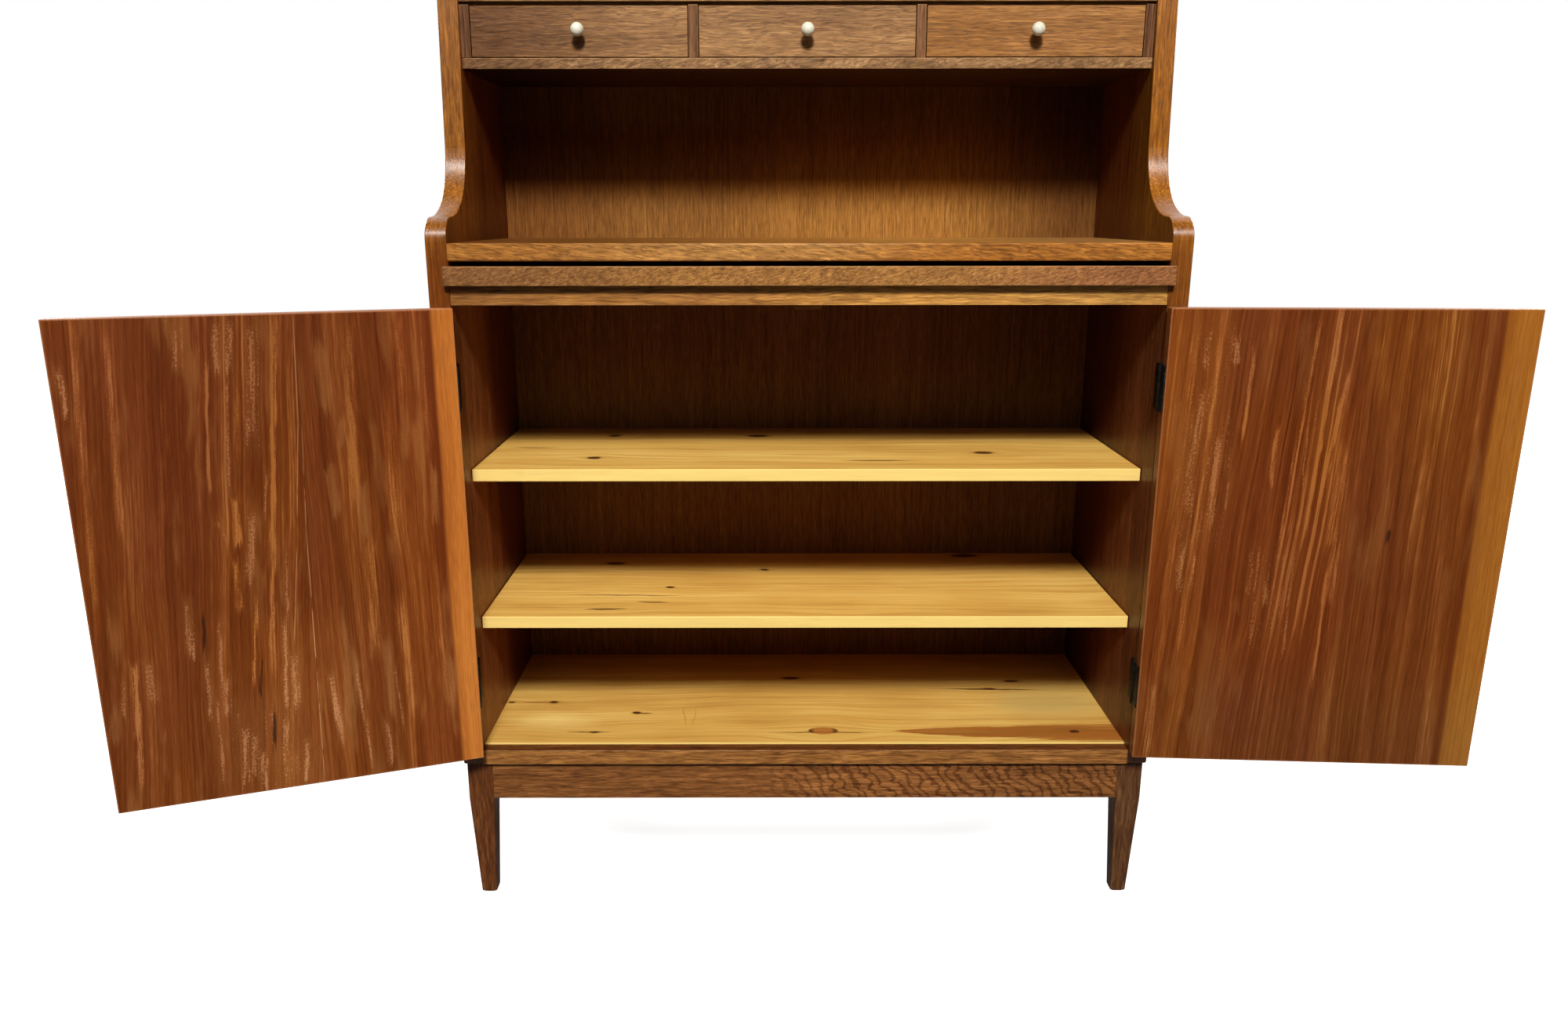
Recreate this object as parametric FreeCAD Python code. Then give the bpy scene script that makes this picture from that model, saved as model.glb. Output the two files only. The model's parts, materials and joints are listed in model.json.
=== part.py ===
import FreeCAD, Part
import math
import os

from FreeCAD import Vector

# A floor-standing bookcase cabinet: leg frame, two-door cupboard, pull-out leaf, niche, drawers, shelves.
# Millimetres. X runs to the right, Y to the back, Z up, from the floor under the middle of the carcass.
# The doors stand open at rest, and the leaf and the drawers are pushed in.

# Overall sizes
overall_width = 900.0
overall_depth = 340.0
overall_height = 1700.0
side_thickness = 25.0

# Leg frame
base_height = 199.0
leg_size = 33.0
foot_size = 20.0
foot_rounding = 3.0
apron_height = 53.0
apron_thickness = 20.0
apron_setback = 1.0
frame_inset_side = 2.0
frame_inset_front = 6.0
tenon_length = 14.0
tenon_thickness = 9.0
tenon_shoulder = 8.0

# Scroll of the side panels
nose_radius = 28.0
nose_top_above_worktop = 30.0
upper_edge_recess = 110.7
upper_edge_lean = 3.3
top_corner_radius = 28.0
side_foot_rounding = 3.5
edge_rounding = 1.2

# Stopped housings, which hold the fixed boards in the side panels
housing_depth = 6.0
housing_stop = 6.0
tongue_thickness = 9.0

# Back panels
back_thickness = 6.0
back_inset = 3.0
back_rebate = 10.0
back_top_margin = 3.0

# Cupboard
bottom_thickness = 22.0
bottom_rail_height = 20.0
top_rail_height = 25.2
top_rail_depth = 60.0
top_rail_setback = 1.5
door_stop_gap = 1.0
cupboard_shelf_thickness = 16.0
cupboard_shelf_setback = 42.0
cupboard_shelf_heights = (169.0, 367.0)
shelf_end_gap = 1.0
shelf_back_gap = 1.0

# Shelf pegs
peg_diameter = 6.0
peg_reach = 9.0
peg_depth = 10.0
peg_hole_clearance = 0.05
peg_setback = 40.0

# Doors
door_thickness = 18.0
door_height = 574.0
door_edge_gap = 1.5
door_hinge_gap = 4.0
door_meeting_gap = 3.0
door_left_opening = 160.3
door_right_opening = 176.5
door_stop_length = 32.0
door_stop_height = 6.0
door_stop_depth = 14.0

# Butt hinges
hinge_height = 55.0
hinge_leaf_width = 16.0
hinge_leaf_thickness = 1.5
hinge_barrel_radius = 2.4
hinge_pin_radius = 1.2
hinge_pin_clearance = 0.05
hinge_pivot_inset = 2.8
hinge_pivot_forward = 3.0
hinge_end_distance = 96.0
hinge_knuckles = 5
hinge_knuckle_gap = 0.3
hinge_tip_height = 1.6
hinge_tip_chamfer = 0.6

# Pull-out leaf
leaf_lip_height = 22.5
leaf_lip_overhang = 11.0
leaf_lip_lap = 5.0
leaf_lip_gap = 0.3
leaf_lip_corner = 3.0
leaf_top_gap = 5.25
leaf_thickness = 18.0
leaf_side_gap = 0.5
leaf_back_gap = 12.0
leaf_runner_width = 22.0
leaf_runner_height = 12.0
leaf_batten_width = 40.0
leaf_batten_margin = 60.0
leaf_running_gap = 0.3

# Worktop and niche
worktop_thickness = 21.0
worktop_rounding = 2.5
niche_height = 206.0

# Drawer case
case_recess = 129.0
case_bottom_thickness = 13.0
case_top_thickness = 3.0
case_top_setback = 6.0
case_side_thickness = 12.0
case_divider_thickness = 12.0
case_opening_height = 61.0
case_back_gap = 1.0

# Drawers
drawer_names = ("left", "middle", "right")
drawer_front_thickness = 16.0
drawer_gap_side = 1.0
drawer_gap_top = 1.5
drawer_gap_bottom = 1.0
drawer_back_gap = 9.0
drawer_side_height = 50.0
drawer_wall = 8.0
drawer_bottom_thickness = 4.0
drawer_bottom_lift = 6.0
drawer_groove = 4.0
dovetail_length = 10.0
dovetail_count = 2
dovetail_slope = 0.17
drawer_running_gap = 0.3

# Ball knobs
knob_ball_radius = 8.2
knob_neck_radius = 2.6
knob_foot_radius = 4.5
knob_foot_height = 4.0
knob_ball_stand = 16.5
door_knob_from_edge = 32.0
door_knob_below_top = 150.0

# Upper bookcase
fixed_shelf_thickness = 18.0
book_shelf_thickness = 18.0
top_thickness = 18.0
upper_shelf_setback = 2.0
book_shelf_setback = 6.0

# Levels and planes worked out from the sizes above
front = -overall_depth / 2
rear = overall_depth / 2
outer = overall_width / 2
inner = outer - side_thickness
back_face = rear - back_inset - back_thickness
bottom_rail_top = base_height + bottom_rail_height
bottom_top = base_height + bottom_thickness
door_bottom = bottom_rail_top + door_edge_gap
door_top = door_bottom + door_height
top_rail_bottom = door_top + door_edge_gap
top_rail_top = top_rail_bottom + top_rail_height
leaf_bottom = top_rail_top + leaf_running_gap
leaf_top = leaf_bottom + leaf_thickness
leaf_lip_bottom = (leaf_bottom + leaf_top - leaf_lip_height) / 2
leaf_lip_top = leaf_lip_bottom + leaf_lip_height
worktop_bottom = leaf_lip_top + leaf_top_gap
worktop_top = worktop_bottom + worktop_thickness
case_bottom_level = worktop_top + niche_height
case_floor = case_bottom_level + case_bottom_thickness
case_opening_top = case_floor + case_opening_height
fixed_shelf_bottom = case_opening_top + case_top_thickness
fixed_shelf_top = fixed_shelf_bottom + fixed_shelf_thickness
top_bottom = overall_height - top_thickness
book_shelf_bottom = (fixed_shelf_top + top_bottom - book_shelf_thickness) / 2
case_front = front + case_recess
nose_top = worktop_top + nose_top_above_worktop
doors_inner_face = front + door_thickness
stop_face = doors_inner_face + door_stop_gap

# Directions, and how close two values are when they count as equal
X_AXIS = Vector(1, 0, 0)
Y_AXIS = Vector(0, 1, 0)
Z_AXIS = Vector(0, 0, 1)
CLOSE = 0.001

os.makedirs("parts", exist_ok=True)


def save(name, shape):
    shape.exportStep("parts/" + name + ".step")


def box(x0, x1, y0, y1, z0, z1):
    return Part.makeBox(x1 - x0, y1 - y0, z1 - z0, Vector(x0, y0, z0))


def mirrored(shape):
    return shape.mirror(Vector(0, 0, 0), X_AXIS)


def edges_where(shape, test):
    return [edge for edge in shape.Edges if test(edge)]


def runs_along(edge, axis):
    start = edge.Vertexes[0].Point
    end = edge.Vertexes[-1].Point
    return at(abs((end - start).normalize().dot(axis)), 1.0)


def at(value, level):
    return abs(value - level) < CLOSE


def both(name, shape):
    save(name + "_right", shape)
    save(name + "_left", mirrored(shape))


# Front edge of the upper side panels, leaning back as it rises, and the cove that runs into it smoothly
lean = math.radians(upper_edge_lean)
cove_radius = (upper_edge_recess - nose_radius) / (1 / math.cos(lean) - math.tan(lean))
cove_centre = Vector(0, front + nose_radius, nose_top + cove_radius)


def upper_edge(z):
    return front + upper_edge_recess + (z - nose_top) * math.tan(lean)


def on_cove(angle):
    """A point of the cove, by its angle below the horizontal through the cove's centre."""
    return Vector(inner, cove_centre.y + cove_radius * math.cos(angle),
                  cove_centre.z - cove_radius * math.sin(angle))


# Leg frame
leg_outer = outer - frame_inset_side
leg_front = front + frame_inset_front
leg_rear = rear
apron_bottom = base_height - apron_height
tenon_bottom = apron_bottom + tenon_shoulder
tenon_top = base_height - tenon_shoulder
apron_mid = apron_setback + apron_thickness / 2


def square_wire(x0, x1, y0, y1, z):
    corners = [Vector(x0, y0, z), Vector(x1, y0, z), Vector(x1, y1, z), Vector(x0, y1, z), Vector(x0, y0, z)]
    return Part.makePolygon(corners)


def leg(y0):
    x0 = leg_outer - leg_size
    taper = (leg_size - foot_size) / 2
    upper = box(x0, leg_outer, y0, y0 + leg_size, apron_bottom, base_height)
    knee = square_wire(x0, leg_outer, y0, y0 + leg_size, apron_bottom)
    foot = square_wire(x0 + taper, leg_outer - taper, y0 + taper, y0 + leg_size - taper, 0.0)
    lower = Part.makeLoft([foot, knee], True)
    foot_edges = edges_where(lower, lambda edge: at(edge.BoundBox.ZMax, 0.0))
    lower = lower.makeChamfer(foot_rounding, foot_edges)
    return upper.fuse(lower).removeSplitter()


def front_tenon(y0, face_sign):
    middle = y0 + apron_mid if face_sign > 0 else y0 + leg_size - apron_mid
    x0 = leg_outer - leg_size
    return box(x0, x0 + tenon_length, middle - tenon_thickness / 2, middle + tenon_thickness / 2,
               tenon_bottom, tenon_top)


def side_tenon(y_face, direction):
    middle = leg_outer - apron_mid
    y_end = y_face + direction * tenon_length
    return box(middle - tenon_thickness / 2, middle + tenon_thickness / 2, min(y_face, y_end),
               max(y_face, y_end), tenon_bottom, tenon_top)


front_leg_back = leg_front + leg_size
rear_leg_front = leg_rear - leg_size
front_leg = leg(leg_front).cut(front_tenon(leg_front, 1)).cut(side_tenon(front_leg_back, -1))
rear_leg = leg(rear_leg_front).cut(front_tenon(rear_leg_front, -1)).cut(side_tenon(rear_leg_front, 1))
both("leg_front", front_leg)
both("leg_rear", rear_leg)

apron_reach = leg_outer - leg_size
front_apron_y = leg_front + apron_setback
front_apron = box(-apron_reach, apron_reach, front_apron_y, front_apron_y + apron_thickness,
                  apron_bottom, base_height)
front_tongue = front_tenon(leg_front, 1)
save("apron_front", front_apron.fuse([front_tongue, mirrored(front_tongue)]).removeSplitter())
rear_apron_y = leg_rear - apron_setback - apron_thickness
rear_apron = box(-apron_reach, apron_reach, rear_apron_y, rear_apron_y + apron_thickness,
                 apron_bottom, base_height)
rear_tongue = front_tenon(rear_leg_front, -1)
save("apron_rear", rear_apron.fuse([rear_tongue, mirrored(rear_tongue)]).removeSplitter())
side_apron_x = leg_outer - apron_setback
side_apron = box(side_apron_x - apron_thickness, side_apron_x, front_leg_back, rear_leg_front,
                 apron_bottom, base_height)
side_tongues = [side_tenon(front_leg_back, -1), side_tenon(rear_leg_front, 1)]
both("apron", side_apron.fuse(side_tongues).removeSplitter())


# Boards and rails that are housed in the side panels
case_back = back_face - case_back_gap
fixed_shelf_front = upper_edge(fixed_shelf_top) + upper_shelf_setback
top_front = upper_edge(overall_height) + top_corner_radius
housings = []


def front_rounded(board, radius):
    lowest = board.BoundBox.YMin
    edges = edges_where(board, lambda edge: runs_along(edge, X_AXIS) and at(edge.BoundBox.YMin, lowest))
    return board.makeFillet(radius, edges)


def housed(name, y0, y1, z0, z1, rounding=0.0):
    """A board between the side panels, with a tongue at each end that starts behind its front edge."""
    board = box(-inner, inner, y0, y1, z0, z1)
    if rounding > 0:
        board = front_rounded(board, rounding)
    tongue_low = (z0 + z1 - tongue_thickness) / 2
    tongue_high = tongue_low + tongue_thickness
    tongue = box(inner, inner + housing_depth, y0 + housing_stop, y1, tongue_low, tongue_high)
    housings.append(tongue)
    save(name, board.fuse([tongue, mirrored(tongue)]).removeSplitter())


housed("cupboard_bottom", stop_face, back_face, base_height, bottom_top)
housed("bottom_rail", front, stop_face, base_height, bottom_rail_top)
housed("top_rail", front + top_rail_setback, front + top_rail_depth, top_rail_bottom, top_rail_top)
housed("worktop", front, back_face, worktop_bottom, worktop_top, worktop_rounding)
housed("drawer_case_bottom", case_front, case_back, case_bottom_level, case_floor)
housed("fixed_shelf", fixed_shelf_front, back_face, fixed_shelf_bottom, fixed_shelf_top, edge_rounding)
housed("top_board", top_front, back_face, top_bottom, overall_height)


# Side panels
cupboard_peg_ys = (front + cupboard_shelf_setback + peg_setback, back_face - peg_setback)
book_peg_ys = (upper_edge(book_shelf_bottom) + book_shelf_setback + peg_setback, back_face - peg_setback)
cupboard_shelf_bottoms = [bottom_top + height - cupboard_shelf_thickness
                          for height in cupboard_shelf_heights]
peg_radius = peg_diameter / 2
cupboard_peg_places = [(y, z - peg_radius) for z in cupboard_shelf_bottoms for y in cupboard_peg_ys]
book_peg_places = [(y, book_shelf_bottom - peg_radius) for y in book_peg_ys]


def peg(place, radius):
    start = Vector(inner - peg_reach, place[0], place[1])
    return Part.makeCylinder(radius, peg_reach + peg_depth, start, X_AXIS)


def scroll_outline():
    low_rear = Vector(inner, rear, base_height)
    low_front = Vector(inner, front, base_height)
    nose_start = Vector(inner, front, nose_top - nose_radius)
    nose_bulge = nose_radius * math.sqrt(0.5)
    nose_mid = Vector(inner, front + nose_radius - nose_bulge, nose_top - nose_radius + nose_bulge)
    cove_start_angle = math.pi / 2
    cove_start = on_cove(cove_start_angle)
    cove_mid = on_cove((cove_start_angle + lean) / 2)
    cove_stop = on_cove(lean)
    top_front = Vector(inner, upper_edge(overall_height), overall_height)
    top_rear = Vector(inner, rear, overall_height)
    return Part.Wire([
        Part.LineSegment(low_rear, low_front).toShape(),
        Part.LineSegment(low_front, nose_start).toShape(),
        Part.Arc(nose_start, nose_mid, cove_start).toShape(),
        Part.Arc(cove_start, cove_mid, cove_stop).toShape(),
        Part.LineSegment(cove_stop, top_front).toShape(),
        Part.LineSegment(top_front, top_rear).toShape(),
        Part.LineSegment(top_rear, low_rear).toShape(),
    ])


def shows_in_front(edge):
    """The long edges of the front run and the top, but not the bottom and rear edges."""
    extent = edge.BoundBox
    return at(extent.XLength, 0.0) and not at(extent.ZMax, base_height) and not at(extent.YMin, rear)


def side_panel():
    panel = Part.Face(scroll_outline()).extrude(Vector(side_thickness, 0, 0))
    corner = edges_where(panel, lambda edge: runs_along(edge, X_AXIS)
                         and at(edge.BoundBox.ZMin, overall_height)
                         and at(edge.BoundBox.YMin, upper_edge(overall_height)))
    panel = panel.makeFillet(top_corner_radius, corner)
    panel = panel.makeFillet(edge_rounding, edges_where(panel, shows_in_front))
    foot = edges_where(panel, lambda edge: at(edge.BoundBox.ZMax, base_height)
                       and at(edge.BoundBox.XMin, outer))
    panel = panel.makeFillet(side_foot_rounding, foot)
    rebate = box(inner, inner + back_rebate, back_face, rear, base_height, overall_height)
    holes = [peg(place, peg_radius + peg_hole_clearance) for place in cupboard_peg_places + book_peg_places]
    return panel.cut([rebate] + housings + holes).removeSplitter()


both("side", side_panel())


# Cupboard
save("door_stop", box(-door_stop_length / 2, door_stop_length / 2, stop_face, stop_face + door_stop_depth,
                      top_rail_bottom - door_stop_height, top_rail_bottom))
shelf_half = inner - shelf_end_gap
shelf_rear = back_face - shelf_back_gap
for label, level in zip(("lower", "upper"), cupboard_shelf_bottoms):
    shelf = box(-shelf_half, shelf_half, front + cupboard_shelf_setback, shelf_rear,
                level, level + cupboard_shelf_thickness)
    save("cupboard_shelf_" + label, front_rounded(shelf, edge_rounding))


def pegs(places):
    right = [peg(place, peg_radius) for place in places]
    return Part.makeCompound(right + [mirrored(one) for one in right])


save("cupboard_shelf_pegs", pegs(cupboard_peg_places))

# Back panels, meeting behind the worktop
back_split = worktop_bottom + worktop_thickness / 2
back_half = inner + back_rebate
save("back_panel_lower", box(-back_half, back_half, back_face, back_face + back_thickness,
                             base_height, back_split))
save("back_panel_upper", box(-back_half, back_half, back_face, back_face + back_thickness,
                             back_split, overall_height - back_top_margin))


# Pull-out leaf, whose lip laps the front edges of the side panels and stops it there
leaf_half = inner - leaf_side_gap
lip_half = inner + leaf_lip_lap
lip_front = front - leaf_lip_overhang
lip_rear = front - leaf_lip_gap
leaf_rear = back_face - leaf_back_gap


def leaf_lip():
    lip = box(-lip_half, lip_half, lip_front, lip_rear, leaf_lip_bottom, leaf_lip_top)
    ends = edges_where(lip, lambda edge: runs_along(edge, Z_AXIS) and at(edge.BoundBox.YMin, lip_front))
    lip = lip.makeFillet(leaf_lip_corner, ends)
    return front_rounded(lip, edge_rounding)


save("leaf_lip", leaf_lip())
save("leaf_panel", box(-leaf_half, leaf_half, lip_rear, leaf_rear, leaf_bottom, leaf_top))
batten_half = leaf_half - leaf_batten_margin
save("leaf_rear_batten", box(-batten_half, batten_half, leaf_rear - leaf_batten_width, leaf_rear,
                             leaf_top, worktop_bottom - leaf_running_gap))
both("leaf_runner", box(inner - leaf_runner_width, inner, front + top_rail_depth, back_face,
                        top_rail_top - leaf_runner_height, top_rail_top))


# Drawer case
divider_count = len(drawer_names) - 1
case_clear_width = 2 * (inner - case_side_thickness) - divider_count * case_divider_thickness
opening_width = case_clear_width / len(drawer_names)
drawer_pitch = opening_width + case_divider_thickness
drawer_centres = [(index - divider_count / 2) * drawer_pitch for index in range(len(drawer_names))]
save("drawer_case_top", box(-inner, inner, case_front + case_top_setback, case_back,
                            case_opening_top, fixed_shelf_bottom))
both("drawer_case_side", box(inner - case_side_thickness, inner, case_front, case_back,
                             case_floor, case_opening_top))
both("drawer_divider", box(opening_width / 2, opening_width / 2 + case_divider_thickness, case_front,
                           case_back, case_floor, case_opening_top))


# Ball knobs
def knob(base, direction):
    """A ball on a slim stem with a coned foot, turned about the Z axis and then laid along the direction."""
    ball_low = knob_ball_stand - math.sqrt(knob_ball_radius ** 2 - knob_neck_radius ** 2)
    ball_top = knob_ball_stand + knob_ball_radius
    foot_edge = Vector(knob_foot_radius, 0, 0)
    neck_low = Vector(knob_neck_radius, 0, knob_foot_height)
    neck_top = Vector(knob_neck_radius, 0, ball_low)
    ball_side = Vector(knob_ball_radius, 0, knob_ball_stand)
    tip = Vector(0, 0, ball_top)
    outline = Part.Wire([
        Part.LineSegment(Vector(0, 0, 0), foot_edge).toShape(),
        Part.LineSegment(foot_edge, neck_low).toShape(),
        Part.LineSegment(neck_low, neck_top).toShape(),
        Part.Arc(neck_top, ball_side, tip).toShape(),
        Part.LineSegment(tip, Vector(0, 0, 0)).toShape(),
    ])
    turned = Part.Face(outline).revolve(Vector(0, 0, 0), Z_AXIS, 360)
    turned.Placement = FreeCAD.Placement(base, FreeCAD.Rotation(Z_AXIS, direction))
    return turned


# Drawers
drawer_front_low = case_floor + drawer_gap_bottom
drawer_front_high = case_opening_top - drawer_gap_top
drawer_low = case_floor + drawer_running_gap
drawer_half = opening_width / 2 - drawer_gap_side
drawer_back_y = case_back - drawer_back_gap
drawer_floor = drawer_low + drawer_bottom_lift
drawer_bottom_half = drawer_half - drawer_wall + drawer_groove
side_high = drawer_low + drawer_side_height
box_front = case_front + drawer_front_thickness
dovetail_pitch = (side_high - drawer_front_low) / dovetail_count


def dovetail(x0, middle):
    """A tail of a drawer side, half as wide as its pitch where it leaves the side and wider at its tip."""
    root = dovetail_pitch / 4
    tip = root + dovetail_length * dovetail_slope
    tip_y = box_front - dovetail_length
    corners = [Vector(x0, box_front, middle - root), Vector(x0, tip_y, middle - tip),
               Vector(x0, tip_y, middle + tip), Vector(x0, box_front, middle + root)]
    outline = Part.makePolygon(corners + corners[:1])
    return Part.Face(outline).extrude(Vector(drawer_wall, 0, 0))


def drawer_side(x0, bottom):
    """A side with its tails, grooved for the drawer's bottom."""
    wall = box(x0, x0 + drawer_wall, box_front, drawer_back_y, drawer_low, side_high)
    middles = [drawer_front_low + (index + 0.5) * dovetail_pitch for index in range(dovetail_count)]
    return wall.fuse([dovetail(x0, middle) for middle in middles]).cut(bottom).removeSplitter()


for name, centre in zip(drawer_names, drawer_centres):
    left = centre - drawer_half
    right = centre + drawer_half
    bottom = box(centre - drawer_bottom_half, centre + drawer_bottom_half, box_front - drawer_groove,
                 drawer_back_y, drawer_floor, drawer_floor + drawer_bottom_thickness)
    face = box(left, right, case_front, box_front, drawer_front_low, drawer_front_high)
    face_edges = edges_where(face, lambda edge: at(edge.BoundBox.YMax, case_front))
    face = face.makeFillet(edge_rounding / 2, face_edges)
    walls = [drawer_side(left, bottom), drawer_side(right - drawer_wall, bottom)]
    save("drawer_front_" + name, face.cut(walls + [bottom]).removeSplitter())
    save("drawer_sides_" + name, Part.makeCompound(walls))
    save("drawer_back_" + name, box(left + drawer_wall, right - drawer_wall, drawer_back_y - drawer_wall,
                                    drawer_back_y, drawer_floor + drawer_bottom_thickness, side_high))
    save("drawer_bottom_" + name, bottom)
    knob_base = Vector(centre, case_front, (drawer_front_low + drawer_front_high) / 2)
    save("drawer_knob_" + name, knob(knob_base, -Y_AXIS))


# Upper bookcase
book_shelf_front = upper_edge(book_shelf_bottom) + book_shelf_setback
book_shelf = box(-shelf_half, shelf_half, book_shelf_front, shelf_rear,
                 book_shelf_bottom, book_shelf_bottom + book_shelf_thickness)
save("book_shelf", front_rounded(book_shelf, edge_rounding))
save("book_shelf_pegs", pegs(book_peg_places))


# Doors and hinges, drawn closed on the right-hand side and then swung open
pivot_x = inner - hinge_pivot_inset
pivot_y = front - hinge_pivot_forward
door_hinge_edge = inner - door_hinge_gap
hinge_middles = (door_bottom + hinge_end_distance, door_top - hinge_end_distance)
hinge_lows = [middle - hinge_height / 2 for middle in hinge_middles]
knuckle_height = hinge_height / hinge_knuckles


def swung(shape, opening, side):
    """Turns a closed right-hand piece open about its pivot, and mirrors it for the left-hand side."""
    turned = shape.copy()
    turned.rotate(Vector(pivot_x, pivot_y, 0), Z_AXIS, opening)
    return turned if side == "right" else mirrored(turned)


def door():
    panel = box(door_meeting_gap / 2, door_hinge_edge, front, doors_inner_face, door_bottom, door_top)
    return panel.makeFillet(edge_rounding, panel.Edges)


def hinge_leaf(plate_x, first_knuckle, low):
    """One leaf: a plate behind the front plane, and every second knuckle of the barrel with its web."""
    high = low + hinge_height
    pieces = [box(plate_x, plate_x + hinge_leaf_thickness, front, front + hinge_leaf_width, low, high)]
    for index in range(first_knuckle, hinge_knuckles, 2):
        start = low + index * knuckle_height + hinge_knuckle_gap / 2
        length = knuckle_height - hinge_knuckle_gap
        pieces.append(Part.makeCylinder(hinge_barrel_radius, length, Vector(pivot_x, pivot_y, start)))
        pieces.append(box(plate_x, plate_x + hinge_leaf_thickness, pivot_y, front, start, start + length))
    bore_radius = hinge_pin_radius + hinge_pin_clearance
    bore = Part.makeCylinder(bore_radius, hinge_height, Vector(pivot_x, pivot_y, low))
    return pieces[0].fuse(pieces[1:]).cut(bore).removeSplitter()


def hinge_pin(low):
    shaft_start = low - hinge_knuckle_gap
    shaft = Part.makeCylinder(hinge_pin_radius, hinge_height + 2 * hinge_knuckle_gap,
                              Vector(pivot_x, pivot_y, shaft_start))
    tip_low = Part.makeCylinder(hinge_barrel_radius, hinge_tip_height,
                                Vector(pivot_x, pivot_y, shaft_start - hinge_tip_height))
    tip_high = Part.makeCylinder(hinge_barrel_radius, hinge_tip_height,
                                 Vector(pivot_x, pivot_y, low + hinge_height + hinge_knuckle_gap))
    tips = []
    for tip in (tip_low, tip_high):
        rims = edges_where(tip, lambda edge: at(edge.BoundBox.ZLength, 0.0))
        tips.append(tip.makeChamfer(hinge_tip_chamfer, rims))
    return shaft.fuse(tips)


jamb_leaves = [hinge_leaf(inner - hinge_leaf_thickness, 0, low) for low in hinge_lows]
save("hinge_jamb_leaves", Part.makeCompound(jamb_leaves + [mirrored(one) for one in jamb_leaves]))
pins = [hinge_pin(low) for low in hinge_lows]
save("hinge_pins", Part.makeCompound(pins + [mirrored(one) for one in pins]))

knob_place = Vector(door_meeting_gap / 2 + door_knob_from_edge, front, door_top - door_knob_below_top)
door_openings = {"left": door_left_opening, "right": door_right_opening}
for side, opening in door_openings.items():
    save("door_" + side, swung(door(), opening, side))
    door_leaves = [hinge_leaf(door_hinge_edge, 1, low) for low in hinge_lows]
    save("hinge_door_leaves_" + side, swung(Part.makeCompound(door_leaves), opening, side))
    save("door_knob_" + side, swung(knob(knob_place, -Y_AXIS), opening, side))
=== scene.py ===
"""Looks of a free-standing bookcase cabinet: its finishes, small fittings, light, floor and camera."""

import json
import math

import bmesh
import bpy
from mathutils import Matrix, Vector


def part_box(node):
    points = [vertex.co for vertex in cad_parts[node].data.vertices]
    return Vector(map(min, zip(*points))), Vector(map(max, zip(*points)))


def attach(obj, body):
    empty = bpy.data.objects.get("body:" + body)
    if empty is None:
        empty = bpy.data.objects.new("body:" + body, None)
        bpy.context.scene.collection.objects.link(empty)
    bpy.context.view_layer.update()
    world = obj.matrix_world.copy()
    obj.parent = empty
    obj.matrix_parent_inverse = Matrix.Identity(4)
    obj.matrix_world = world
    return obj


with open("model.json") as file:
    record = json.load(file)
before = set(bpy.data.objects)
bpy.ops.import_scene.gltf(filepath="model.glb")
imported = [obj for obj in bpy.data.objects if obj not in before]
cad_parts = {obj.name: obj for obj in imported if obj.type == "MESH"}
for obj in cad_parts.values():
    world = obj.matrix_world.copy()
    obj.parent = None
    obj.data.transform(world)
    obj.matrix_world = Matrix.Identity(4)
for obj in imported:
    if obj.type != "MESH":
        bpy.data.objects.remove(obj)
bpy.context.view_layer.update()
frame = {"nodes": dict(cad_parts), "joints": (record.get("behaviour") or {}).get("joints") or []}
nodes = frame["nodes"]

MM = 0.001

# Camera, fitted to the photograph's view
CAMERA_PLACE = Vector((-0.0506, -1.5261, 0.8983))
CAMERA_TILT = 75.317
CAMERA_YAW = -0.025
CAMERA_ROLL = -0.051
LENS = 25.915
SENSOR = 36.0
SHIFT_X = 0.01085

# Light: a lamp high in front, a wide soft glow around it, two dim lamps behind for the other sides
AIM = Vector((0.0, 0.0, 0.7))
KEY_PLACE = Vector((0.0, -3.7, 3.8))
KEY_SIZE = 0.88
KEY_POWER = 292.0
KEY_COLOUR = (1.0, 0.965, 0.91)
GLOW_PLACE = Vector((0.0, -3.7, 4.2))
GLOW_SIZE = 4.0
GLOW_POWER = 56.0
REAR_PLACES = (Vector((-3.6, 2.6, 2.6)), Vector((3.6, 2.6, 2.6)))
REAR_SIZE = 1.6
REAR_POWER = 190.0
REAR_COLOUR = (1.0, 0.98, 0.95)
AMBIENT = 0.010
AMBIENT_COLOUR = (1.0, 0.97, 0.93, 1.0)
WHITE = (1.0, 1.0, 1.0, 1.0)
FLOOR_SIZE = 14.0
FLOOR_BOUNCE = 0.12
FLOOR_GLOW = 0.82
FLOOR_WHITE = 0.5
SHADOW_REACH = (0.9, 1.8)
BEHIND = (0.05, 0.35)

# Mean colours of the timber, as linear red, green and blue
WORKTOP = (0.380, 0.154, 0.0295)
LIP = (0.320, 0.143, 0.0367)
RAIL = (0.315, 0.133, 0.0305)
SIDE_LEFT = (0.268, 0.095, 0.0120)
SIDE_RIGHT = (0.297, 0.102, 0.0090)
WALL_LEFT = (0.285, 0.101, 0.0128)
WALL_RIGHT = (0.312, 0.107, 0.0095)
SIDE_FACE = (0.230, 0.090, 0.0245)
CASE = (0.270, 0.141, 0.0555)
DIVIDER = (0.150, 0.0625, 0.0220)
CASE_SIDE = (0.113, 0.0445, 0.0160)
DRAWER_LEFT = (0.140, 0.058, 0.0200)
DRAWER_MIDDLE = (0.300, 0.150, 0.0550)
DRAWER_RIGHT = (0.275, 0.115, 0.0270)
BOTTOM_RAIL = (0.356, 0.150, 0.0378)
APRON = (0.240, 0.091, 0.0250)
LEG_LEFT = (0.130, 0.041, 0.0110)
LEG_RIGHT = (0.128, 0.053, 0.0200)
LEAF = (0.300, 0.122, 0.0300)
BACK_UPPER = (0.340, 0.150, 0.0295)
# The back inside the cupboard is about half as light as the niche's back: painted shade for the cupboard's
# inside.
BACK_LOWER_SHADED = (0.170, 0.0735, 0.0215)
PORE = (0.035, 0.012, 0.006)
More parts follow.
